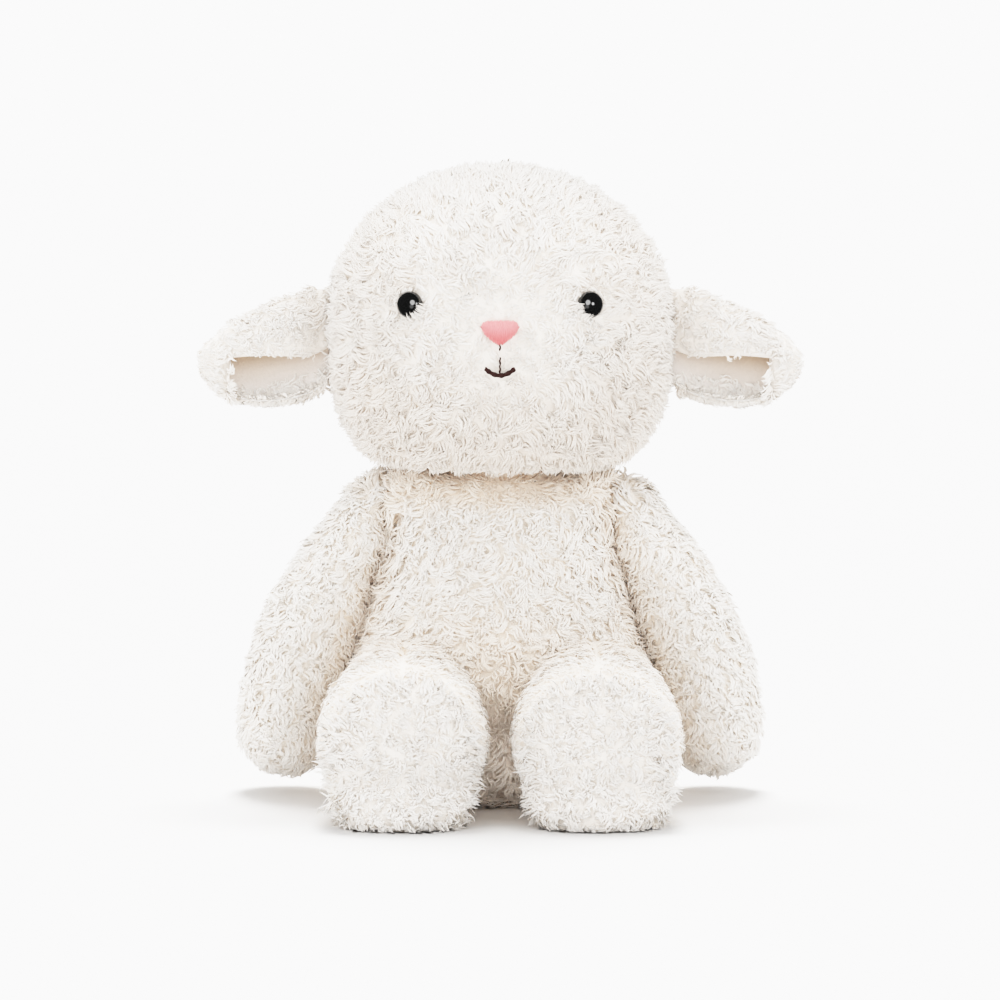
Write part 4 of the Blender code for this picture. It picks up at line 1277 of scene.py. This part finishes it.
def lid_locks(rng):
    """Locks that lean over two sides of each eye and leave it a slanting leaf shape."""
    lock = bpy.context.scene.sheep_pile.head_lock
    rows = []
    for side in (1, -1):
        out = eye_frame(side).to_3x3() @ Vector((0, 0, 1))
        for turn, wide, short, long, high in ((135, 0.9, 0.30, 0.42, 0.0018), (-45, 0.80, 0.46, 0.60, 0.0032)):
            for _ in range(42):
                angle = math.radians(turn) + rng.uniform(-wide, wide)
                reach = rng.uniform(0.0058, 0.0070)
                x, z = -side * math.cos(angle) * reach, math.sin(angle) * reach
                root = Vector(on_face(side * EYE_X + x, EYE_Z + z, 0))
                sweep = angle + math.pi + rng.uniform(-0.4, 0.4)
                way = Vector((-side * math.cos(sweep), 0, math.sin(sweep)))
                way = (way - out * way.dot(out)).normalized()
                rows.append((root, out, way, lock * rng.uniform(short, long), out * high * rng.uniform(0.8, 1.1)))
    roots, outs, ways, lengths, pulls = (np.array([tuple(v) if isinstance(v, Vector) else v for v in column]) for column in zip(*rows))
    count = len(rows)
    radii = np.full(count, bpy.context.scene.sheep_pile.lock_radius * 0.75)
    shapes = rng.integers(0, 4 * VARIANTS, count)
    # The lid locks get a little painted shade
    return roots, outs, ways, lengths, radii, shapes, pulls, rng.random(count), np.full(count, 0.25)


def eye_button(side, name):
    """A domed button on its post."""
    face = bpy.context.scene.sheep_face
    radius, dome = face.eye_radius, 0.0038
    bm = bmesh.new()
    profile = [(0.0, -0.0085), (0.0014, -0.0085), (0.0015, -0.0080), (0.0015, 0.0002), (radius * 0.96, 0.0003)]
    for k in range(13):
        angle = math.pi / 2 * k / 12
        profile.append((radius * math.cos(angle), 0.0006 + dome * math.sin(angle)))
    corners = [bm.verts.new((x, 0, z)) for x, z in profile]
    edges = [bm.edges.new(pair) for pair in zip(corners, corners[1:])]
    bmesh.ops.spin(bm, geom=corners + edges, cent=(0, 0, 0), axis=(0, 0, 1), angle=math.tau, steps=48, use_merge=True)
    bmesh.ops.remove_doubles(bm, verts=bm.verts, dist=1e-6)
    bmesh.ops.transform(bm, matrix=eye_frame(side), verts=bm.verts)
    bmesh.ops.recalc_face_normals(bm, faces=bm.faces)
    made = object_of(bm, name)
    made.data.shade_smooth()
    made.data.set_sharp_from_angle(angle=math.radians(50))
    return made


def dressed(made, body, nodes, finish=None):
    """Hangs a finished piece on its body and hides the solids that it stands for."""
    if finish:
        made.data.materials.clear()
        made.data.materials.append(look(finish))
    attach(made, body)
    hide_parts(*nodes)
    return made


class SheepOperator(bpy.types.Operator):
    bl_options = {"REGISTER", "UNDO"}


class SHEEP_OT_body(SheepOperator):
    """Covers the torso, neck and tail"""

    bl_idname = "sheep.body"
    bl_label = "Body, neck and tail"

    def execute(self, context):
        made = skin("body_skin", torso_rings())
        seam = (lambda p: abs(p.x), 0.0006)
        puckered(made, seams=(seam,))
        for vert in made.data.vertices:
            sag = (1 - eased(vert.co.z, 0.006, 0.034)) * (1 - eased(abs(vert.co.x), 0.010, 0.026))
            if vert.co.y < MIDDLE_Y:
                vert.co += Vector((0, -0.017, -0.004)) * float(sag * min(1, (MIDDLE_Y - vert.co.y) / 0.012))
            corner = float(eased(vert.co.z, 0.104, 0.118) * eased(abs(vert.co.x), 0.016, 0.030))
            vert.co += Vector((math.copysign(0.0045, vert.co.x), 0, 0.0012)) * corner
        rested(made)
        lock = context.scene.sheep_pile.body_lock

        def share(places, normals):
            shares = np.ones(len(places))
            across, up = np.abs(places[:, 0]), places[:, 2]
            shares[up > TORSO_TOP - 0.0006] = 0.15
            shares[(up > TORSO_TOP - 0.0006) & (across > 0.026)] = 0.75
            beside = (across > 0.040) & (np.abs(places[:, 1] - MIDDLE_Y) < 0.016) & (up > 0.06) & (up < 0.105)
            shares[beside] = 0.75
            return shares

        def scale(places):
            long = 0.45 * eased(places[:, 2], 0.113, 0.122) * eased(np.abs(places[:, 0]), 0.018, 0.03)
            between = (1 - eased(places[:, 2], 0.010, 0.024)) * (1 - eased(np.abs(places[:, 0]), 0.020, 0.032))
            wide = np.abs(places[:, 0]) / body_width(places)
            beside = 0.35 * eased(wide, 0.70, 0.90) * eased(places[:, 2], 0.060, 0.075)
            return 1 + np.maximum(long, beside) + 0.5 * between * (places[:, 1] < MIDDLE_Y)

        def crotch(places):
            return 0.20 * (1 - eased(places[:, 2], 0.030, 0.060)) * (1 - eased(np.abs(places[:, 0]), 0.015, 0.03))

        whole = pile(
            "body_pile", made, look("Cream pile"), 11, lock, body_nap, share=share, scale=scale, shade_depth=body_shade,
            lift=crotch, curl=(3, 11),
        )
        nodes = ("body_left_cover", "body_right_cover", "body_stuffing", "pellet_bag")
        dressed(whole, "torso", nodes)
        rings = []
        for k in range(7):
            angle = math.radians(-34 + 68 * k / 6)
            rings.append(level_ring(0.025 * math.cos(angle), 0.025 * math.cos(angle), NECK.z + 0.025 * math.sin(angle), MIDDLE_Y, 24))
        made = skin("neck_skin", rings, 1)
        # The neck, under the head, gets the full painted shade
        whole = pile("neck_pile", made, look("Cream pile"), 12, lock * 0.55, away_from((0, MIDDLE_Y, NECK.z)), density=0.25, radius=0.8, shade_depth=evenly)
        dressed(whole, "neck", ("neck_cover", "neck_stuffing"))
        bm = bmesh.new()
        bmesh.ops.create_uvsphere(bm, u_segments=24, v_segments=14, radius=1)
        middle = Vector((0, 0.048 + MIDDLE_Y, 0.050))
        bmesh.ops.transform(bm, matrix=Matrix.Translation(middle) @ Matrix.Diagonal((0.0105, 0.010, 0.012, 1)), verts=bm.verts)
        made = object_of(bm, "tail_skin")
        made.data.shade_smooth()
        whole = pile("tail_pile", made, look("Cream pile"), 13, lock, away_from((0, MIDDLE_Y, 0.075)))
        dressed(whole, "torso", ("tail",))
        return {"FINISHED"}


class SHEEP_OT_head(SheepOperator):
    """Covers the head, with shorter pile round the eyes, the nose and the mouth"""

    bl_idname = "sheep.head"
    bl_label = "Head"

    def execute(self, context):
        made = skin("head_skin", head_rings())
        puckered(made)
        eyes = [Vector((side * EYE_SPOT.x, EYE_SPOT.y, EYE_SPOT.z)) for side in (1, -1)]
        gaps = [(eye, 0.0053, 0.0047) for eye in eyes]
        for x, z in ((0, 0.002), (0.0035, 0.003), (-0.0035, 0.003), (0, -0.002), (0.0015, 0), (-0.0015, 0)):
            gaps.append((Vector(on_face(x, NOSE_Z + z, 0)), 0.0036, 0.0030))
        for z in np.linspace(MOUTH_BOTTOM, MOUTH_TOP, 4):
            gaps.append((Vector(on_face(0, z, 0)), 0.0011, 0.0010))
        for t in np.linspace(-1, 1, 7):
            gaps.append((Vector(on_face(t * SMILE_WIDE, SMILE_Z + SMILE_RISE * t * t, 0)), 0.0014, 0.0012))
        scale = shorter_round(
            [(eye, 0.014, 0.50) for eye in eyes]
            + [(NOSE_SPOT, 0.030, 0.50), (Vector(on_face(0, SMILE_Z, 0)), 0.022, 0.50)]
        )

        def share(places, normals):
            return np.where(places[:, 2] < JAW + 0.0008, 0.2, 1.0)

        def edge(places):
            away = np.hypot(places[:, 0] / HEAD_WIDE, (places[:, 2] - HEAD_MID) / HEAD_CROWN)
            return 0.16 * eased(away, 0.82, 0.98)

        def trimmed(places):
            return scale(places) * (0.78 + 0.22 * eased(places[:, 2], JAW + 0.001, JAW + 0.010))

        whole = pile(
            "head_pile", made, look("White pile"), 21, context.scene.sheep_pile.head_lock, head_nap,
            share=share, scale=trimmed, lift=edge, avoid=gaps_round(gaps), density=1.05, radius=1.0, shade_depth=head_shade, clump=1.25, curl=(2, 11),
            spread=0.55, tuft=0.34,
            extra=lid_locks(np.random.default_rng(22)),
        )
        nodes = ("head_left_cover", "head_right_cover", "head_gusset", "head_stuffing")
        dressed(whole, "head", nodes)
        return {"FINISHED"}


class SHEEP_OT_ears(SheepOperator):
    """Makes both ears, a furred roll with a smooth lining"""

    bl_idname = "sheep.ears"
    bl_label = "Ears"

    def execute(self, context):
        for side, label in ((1, "left"), (-1, "right")):
            roll, tip, outside = ear_rings(side)
            made = joined(f"ear_{label}_skin", [skin(f"ear_{label}_roll", roll, 1), skin(f"ear_{label}_tip", tip, 1)])
            sown = [skin(f"ear_{label}_sow_{k}", part, 1, closed=False) for k, part in enumerate(outside)]
            for part in sown:
                corners, normals = arrays(part.data)
                middle = corners.mean(1)
                centre = np.array((side * (HEAD_WIDE + 0.025), HEAD_Y, EAR_ROOT.z - 0.008))
                if ((middle - centre) * normals.mean(1)).sum() < 0:
                    part.data.flip_normals()
            inside = skin(f"ear_{label}_sow_inside", hem_rings(side), 1, closed=False)
            if arrays(inside.data)[1][:, :, 1].mean() > 0:
                inside.data.flip_normals()
            sow = joined(f"ear_{label}_sow", sown + [inside])

            def nap(places, normals, side=side):
                ways = np.zeros_like(places)
                front = places[:, 1] < HEAD_Y
                along, up = ear_place(places)
                ways[:, 0] = side * (0.9 - 1.8 * (1 - eased(along, 0.04, 0.14)))
                ways[:, 2] = np.where(front, -0.55 * eased(up, 0.35, 0.8), -0.35)
                rim = front * (1 - eased(along, 0.76, 0.84)) * (1 - eased(up, 0.05, 0.2)) * (along > 0.75)
                ways[:, 0] -= side * 2.0 * rim
                ways[:, 2] -= 1.5 * hollow(places, normals)
                return ways

            # Painted shade where the ear meets the head
            def root_shade(places):
                return 0.45 * (1 - eased(np.abs(places[:, 0]), HEAD_WIDE + 0.004, HEAD_WIDE + 0.022))

            def scale(places):
                along, up = ear_place(places)
                lip = (1 - eased(up, 0.30, 0.60)) * (places[:, 1] < HEAD_Y)
                hem = 1 - eased(up, -0.85, -0.50)
                rim = eased(along, 0.70, 0.76) * (1 - eased(along, 0.80, 0.86)) * lip
                root = 1 - eased(along, 0.05, 0.16)
                return (1 + 0.6 * rim + 0.35 * root - 0.35 * np.maximum(lip, eased(along, 0.70, 0.90))) * (1 - 0.2 * hem)

            def hollow(places, normals):
                return (normals[:, 1] < -0.05) & (np.abs(places[:, 0]) < HEAD_WIDE + 0.755 * EAR_LENGTH) & (ear_place(places)[1] < -0.1)

            def share(places, normals):
                along, up = ear_place(places)
                inside = 1.6 * (1 - eased(up + 0.12 * np.sin(places[:, 0] * 2500), -0.80, -0.42))
                return np.where(hollow(places, normals), inside, 0.7 + 0.9 * (1 - eased(up, -0.85, -0.50)))

            whole = pile(
                f"ear_{label}_pile", made, look("White pile"), 31 + side, context.scene.sheep_pile.ear_lock,
                nap, sow=sow, density=2.1, radius=0.85, clump=0.9, share=share, shade_depth=root_shade, scale=scale,
                curl=(2, 11),
            )
            bpy.data.objects.remove(sow)
            dressed(whole, f"ear_{label}", (f"ear_{label}_outer",))
            cloth = skin(f"ear_{label}_cloth", lining_rings(side), 1)
            marks = cloth.data.uv_layers.new(name="Wrap")
            for loop in cloth.data.loops:
                spot = cloth.data.vertices[loop.vertex_index].co
                along, up = ear_place(np.array([spot]))
                marks.uv[loop.index].vector = (along[0], 0.5 - 0.5 * up[0])
            dressed(cloth, f"ear_{label}", (f"ear_{label}_lining",), finish="Ear lining")
        return {"FINISHED"}


class SHEEP_OT_arms(SheepOperator):
    """Covers both arms"""

    bl_idname = "sheep.arms"
    bl_label = "Arms"

    def execute(self, context):
        lock = context.scene.sheep_pile.body_lock
        for side, label in ((1, "left"), (-1, "right")):
            made = skin(f"arm_{label}_skin", arm_rings(side))
            puckered(made)

            def share(places, normals, side=side):
                inner = (normals[:, 0] * side < -0.6) & (places[:, 2] > 0.05) & (places[:, 2] < 0.115)
                return np.where(inner, 0.5, 1.0)

            def scale(places):
                return 1 + 0.40 * eased(places[:, 2], 0.113, 0.122)

            def edge(places):
                return 0.12 * eased(arm_section(places)[0], 0.72, 0.95)

            whole = pile(
                f"arm_{label}_pile", made, look("Cream pile"), 41 + side, lock, limb_nap(side), share=share,
                scale=scale, lift=edge, shade_depth=arm_shade, spread=0.45, curl=(4, 11), radius=1.24, density=1.0, clump=0.9, tuft=0.08,
                soft=0.62,
            )
            nodes = (f"arm_{label}_cover", f"arm_{label}_stuffing")
            dressed(whole, f"arm_{label}", nodes)
        return {"FINISHED"}


class SHEEP_OT_legs(SheepOperator):
    """Covers both legs and their soles"""

    bl_idname = "sheep.legs"
    bl_label = "Legs and soles"

    def execute(self, context):
        pile_of = context.scene.sheep_pile
        for side, label in ((1, "left"), (-1, "right")):
            place = leg_place(side)
            seam = FOOT_REACH + SOLE_SEAM
            leg = skin(f"leg_{label}_skin", leg_rings(side))
            sole = leg.copy()
            sole.data = leg.data.copy()
            sole.name = f"sole_{label}_skin"
            bpy.context.scene.collection.objects.link(sole)
            for part in (leg, sole):
                settled(part, place)
            rested(cut_at(leg, place, low=0.012, high=seam))
            rested(cut_at(sole, place, low=seam))
            centre = place @ Vector((0, 0, FOOT_REACH))

            def back(places, normals, place=place):
                local = (places - np.array(place.translation)) @ np.array(place.to_3x3())
                return np.where(local[:, 2] < 0.030, 0.25, 1.0) * np.where(
                    np.abs(normals @ np.array(place.to_3x3().col[2])) > 0.98, 0.0, 1.0
                )

            def front(places, normals, place=place, seam=seam):
                local = (places - np.array(place.translation)) @ np.array(place.to_3x3())
                return np.where(local[:, 2] < seam + 0.0002, 0.0, 1.0)

            def nap(places, normals, place=place):
                ways = unit(places - np.array(place @ Vector((0, 0, FOOT_REACH + SOLE_DOME))))
                ways[:, 1] -= 1.8 * (1 - eased(places[:, 2], 0.004, 0.010))
                return ways

            def around_leg(places, normals, side=side):
                ways = np.zeros_like(places)
                ways[:, 0] = np.where(places[:, 0] * side > HIP.x, side, -side)
                ways[:, 1] = -0.5
                ways[:, 2] = -0.5
                return ways

            def under(places, side=side):
                outside = 0.35 * eased(places[:, 0] * side, HIP.x + 0.018, HIP.x + 0.028)
                return 1 + np.maximum(outside, 0.4 * (1 - eased(places[:, 2], 0.002, 0.009)))

            def rim(places, place=place, seam=seam):
                local = (places - np.array(place.translation)) @ np.array(place.to_3x3())
                return 0.45 * (1 - eased(local[:, 2], seam, seam + 0.007))

            # Painted shade on the leg near the hip
            def leg_shade(places, place=place):
                local = (places - np.array(place.translation)) @ np.array(place.to_3x3())
                return 0.7 * (1 - eased(local[:, 2], 0.050, 0.078))

            def leg_scale(places, place=place):
                local = (places - np.array(place.translation)) @ np.array(place.to_3x3())
                return 1 - 0.45 * eased(local[:, 2], 0.060, 0.085)

            whole = pile(
                f"leg_{label}_pile", leg, look("Cream pile"), 51 + side, pile_of.body_lock, around_leg,
                share=back, density=0.8, shade_depth=leg_shade, scale=leg_scale, curl=(4, 12),
            )
            nodes = (f"leg_{label}_cover", f"leg_{label}_stuffing")
            dressed(whole, f"leg_{label}", nodes)
            whole = pile(
                f"sole_{label}_pile", sole, look("White pile"), 61 + side, pile_of.sole_lock, nap,
                share=front, density=1.25, radius=0.98, clump=0.75, scale=under, lift=rim, spread=0.95, curl=(4, 12),
                tuft=0.34,
            )
            dressed(whole, f"leg_{label}", (f"foot_sole_{label}",))
        return {"FINISHED"}


class SHEEP_OT_eyes(SheepOperator):
    """Makes the eyes and finishes their washers"""

    bl_idname = "sheep.eyes"
    bl_label = "Eyes"

    def execute(self, context):
        for side, label in ((1, "left"), (-1, "right")):
            made = eye_button(side, f"eye_{label}_button")
            dressed(made, "head", (f"eye_{label}",), finish="Eye gloss")
            washer = frame["nodes"][f"eye_washer_{label}"]
            for slot in washer.material_slots:
                slot.material = look("Washer plastic")
        return {"FINISHED"}


class SHEEP_OT_face(SheepOperator):
    """Sews the nose and the mouth"""

    bl_idname = "sheep.face"
    bl_label = "Nose and mouth"

    def execute(self, context):
        nose = satin_nose()
        dressed(nose, "head", ("nose_patch",), finish="Nose satin")
        line = [on_face(0.0002 * math.sin(z * 3000), z, 0.0010) for z in np.linspace(MOUTH_TOP + 0.001, MOUTH_BOTTOM - 0.0016, 12)]
        made = stitches("mouth_line", line, ((0.0, 0.21), (0.42, 0.70), (0.66, 1.0)), 0.00036)
        dressed(made, "head", ("mouth_line_stitch",), finish="Mouth thread")
        curve = [
            on_face(SMILE_WIDE * t, SMILE_Z + SMILE_RISE * t * t, 0.0011) for t in np.linspace(-1, 1, 24)
        ]
        made = stitches("smile", curve, ((-0.02, 0.23), (0.15, 0.45), (0.37, 0.65), (0.57, 0.87), (0.79, 1.02)), 0.00090)
        dressed(made, "head", ("smile_stitch",), finish="Mouth thread")
        return {"FINISHED"}


class SHEEP_OT_stage(SheepOperator):
    """Lays the floor, hangs the lamps and places the camera"""

    bl_idname = "sheep.stage"
    bl_label = "Studio"

    def execute(self, context):
        scene, values = context.scene, context.scene.sheep_stage
        floor = lay_floor()
        paper = bpy.data.materials.new("Studio paper")
        paper.use_nodes = True
        tree = paper.node_tree
        shader = tree.nodes["Principled BSDF"]
        place = node(tree, "ShaderNodeTexCoord")
        away = node(tree, "ShaderNodeVectorMath", operation="LENGTH")
        tree.links.new(place.outputs["Object"], away.inputs[0])
        fade = node(tree, "ShaderNodeMapRange")
        fade.inputs["From Min"].default_value = 0.5
        fade.inputs["From Max"].default_value = 4.0
        fade.inputs["To Min"].default_value = values.floor
        fade.inputs["To Max"].default_value = values.floor_far
        tree.links.new(away.outputs["Value"], fade.inputs[0])
        tree.links.new(fade.outputs[0], shader.inputs["Base Color"])
        shader.inputs["Roughness"].default_value = 0.9
        shader.inputs["Specular IOR Level"].default_value = 0.1
        floor.data.materials.append(paper)
        floor.visible_glossy = False
        world = bpy.data.worlds.new("Studio light")
        world.use_nodes = True
        tree = world.node_tree
        glow = tree.nodes["Background"]
        glow.inputs[0].default_value = (1, 1, 1, 1)
        seen = node(tree, "ShaderNodeLightPath")
        before = values.ambience
        for ray, value in (("Is Glossy Ray", values.reflected), ("Is Camera Ray", values.backdrop)):
            level = node(tree, "ShaderNodeMapRange")
            level.inputs["To Max"].default_value = value
            if isinstance(before, float):
                level.inputs["To Min"].default_value = before
            else:
                tree.links.new(before, level.inputs["To Min"])
            tree.links.new(seen.outputs[ray], level.inputs[0])
            before = level.outputs[0]
        tree.links.new(before, glow.inputs[1])
        scene.world = world
        # One lamp is for the floor, and the others are flagged off it
        flags = {}
        for state in ("INCLUDE", "EXCLUDE"):
            flags[state] = bpy.data.collections.new(f"Floor {state.lower()}d")
            flags[state].objects.link(floor)
            for member in flags[state].collection_objects:
                member.light_linking.link_state = state
        suns = (
            ("Floor sun", (0.0, 0.30, 1.0), 4.25, 22),
            ("Top sun", (0.0, -0.20, 1.0), 2.60, 45),
            ("Left sun", (-1.0, -0.6, 0.30), 1.15, 60),
            ("Right sun", (1.0, -0.6, 0.25), 1.10, 60),
            ("Front sun", (0.0, -1.0, 0.20), 0.45, 40),
            ("Left rim sun", (-1.0, 0.45, 0.30), 1.30, 80),
            ("Right rim sun", (1.0, 0.45, 0.30), 1.30, 80),
        )
        for name, way, power, wide in suns:
            light = bpy.data.lights.new(name, "SUN")
            light.energy = power
            light.angle = math.radians(wide)
            lamp = bpy.data.objects.new(name, light)
            lamp.rotation_euler = (-Vector(way)).to_track_quat("-Z", "Y").to_euler()
            lamp.visible_glossy = False
            scene.collection.objects.link(lamp)
            lamp.light_linking.receiver_collection = flags["INCLUDE" if name == "Floor sun" else "EXCLUDE"]
        sparks = (("Front disk", (0.05, -1.8, 0.85), 1.15, 22.0), ("Side disk", (1.15, -1.6, 0.55), 0.6, 8.0), ("Low disk", (-0.15, -1.8, 0.0), 0.9, 2.5))
        for name, spot, size, power in sparks:
            light = bpy.data.lights.new(name, "AREA")
            light.shape = "DISK"
            light.size = size
            light.energy = power
            lamp = bpy.data.objects.new(name, light)
            lamp.location = spot
            lamp.rotation_euler = (Vector((0, 0, 0.19)) - Vector(spot)).to_track_quat("-Z", "Y").to_euler()
            lamp.visible_diffuse = False
            scene.collection.objects.link(lamp)
        lens = bpy.data.cameras.new("Camera")
        lens.lens = values.lens
        lens.sensor_width = 36
        camera = bpy.data.objects.new("Camera", lens)
        camera.location = (0, MIDDLE_Y - values.camera_distance, values.camera_height)
        camera.rotation_euler = (math.pi / 2 - values.camera_dip, 0, 0)
        scene.collection.objects.link(camera)
        scene.camera = camera
        scene.view_settings.view_transform = "Standard"
        soften_highlights(scene.view_settings)
        # White pile passes light on many times
        scene.cycles.max_bounces = 24
        scene.cycles.diffuse_bounces = 16
        return {"FINISHED"}


def soften_highlights(view):
    """A camera's soft shoulder: bright tones draw together instead of burning out."""
    view.use_curve_mapping = True
    curves = view.curve_mapping
    curves.clip_max_x = curves.clip_max_y = 5
    shoulder = curves.curves[3]
    start, room = 0.35, 0.65
    for level in (0.2, start, 0.5, 0.7, 0.9, 1.15, 1.4, 1.7, 2.1, 2.7, 3.5, 5.0):
        past = max(level - start, 0)
        shoulder.points.new(level, min(level, start) + room * (1 - math.exp(-past / room)))
    shoulder.points.remove(next(point for point in shoulder.points if tuple(point.location) == (1.0, 1.0)))
    curves.update()


class SHEEP_PT_panel(bpy.types.Panel):
    bl_label = "Plush sheep"
    bl_idname = "SHEEP_PT_panel"
    bl_space_type = "VIEW_3D"
    bl_region_type = "UI"
    bl_category = "Plush sheep"

    def draw(self, context):
        layout = self.layout
        for values in (context.scene.sheep_pile, context.scene.sheep_face, context.scene.sheep_stage):
            for key in values.__annotations__:
                layout.prop(values, key)
        for maker in MAKERS:
            layout.operator(maker.bl_idname)


GROUPS = (("sheep_pile", SheepPile), ("sheep_face", SheepFace), ("sheep_stage", SheepStage))
MAKERS = (
    SHEEP_OT_stage,
    SHEEP_OT_body,
    SHEEP_OT_head,
    SHEEP_OT_ears,
    SHEEP_OT_arms,
    SHEEP_OT_legs,
    SHEEP_OT_eyes,
    SHEEP_OT_face,
)


def register():
    for name, kind in GROUPS:
        bpy.utils.register_class(kind)
        setattr(bpy.types.Scene, name, bpy.props.PointerProperty(type=kind))
    for kind in MAKERS + (SHEEP_PT_panel,):
        bpy.utils.register_class(kind)


def unregister():
    for kind in (SHEEP_PT_panel,) + MAKERS[::-1]:
        bpy.utils.unregister_class(kind)
    for name, kind in GROUPS[::-1]:
        delattr(bpy.types.Scene, name)
        bpy.utils.unregister_class(kind)


def main():
    register()
    bpy.ops.sheep.stage()
    bpy.ops.sheep.body()
    bpy.ops.sheep.head()
    bpy.ops.sheep.ears()
    bpy.ops.sheep.arms()
    bpy.ops.sheep.legs()
    bpy.ops.sheep.eyes()
    bpy.ops.sheep.face()


if __name__ == "__main__":
    main()
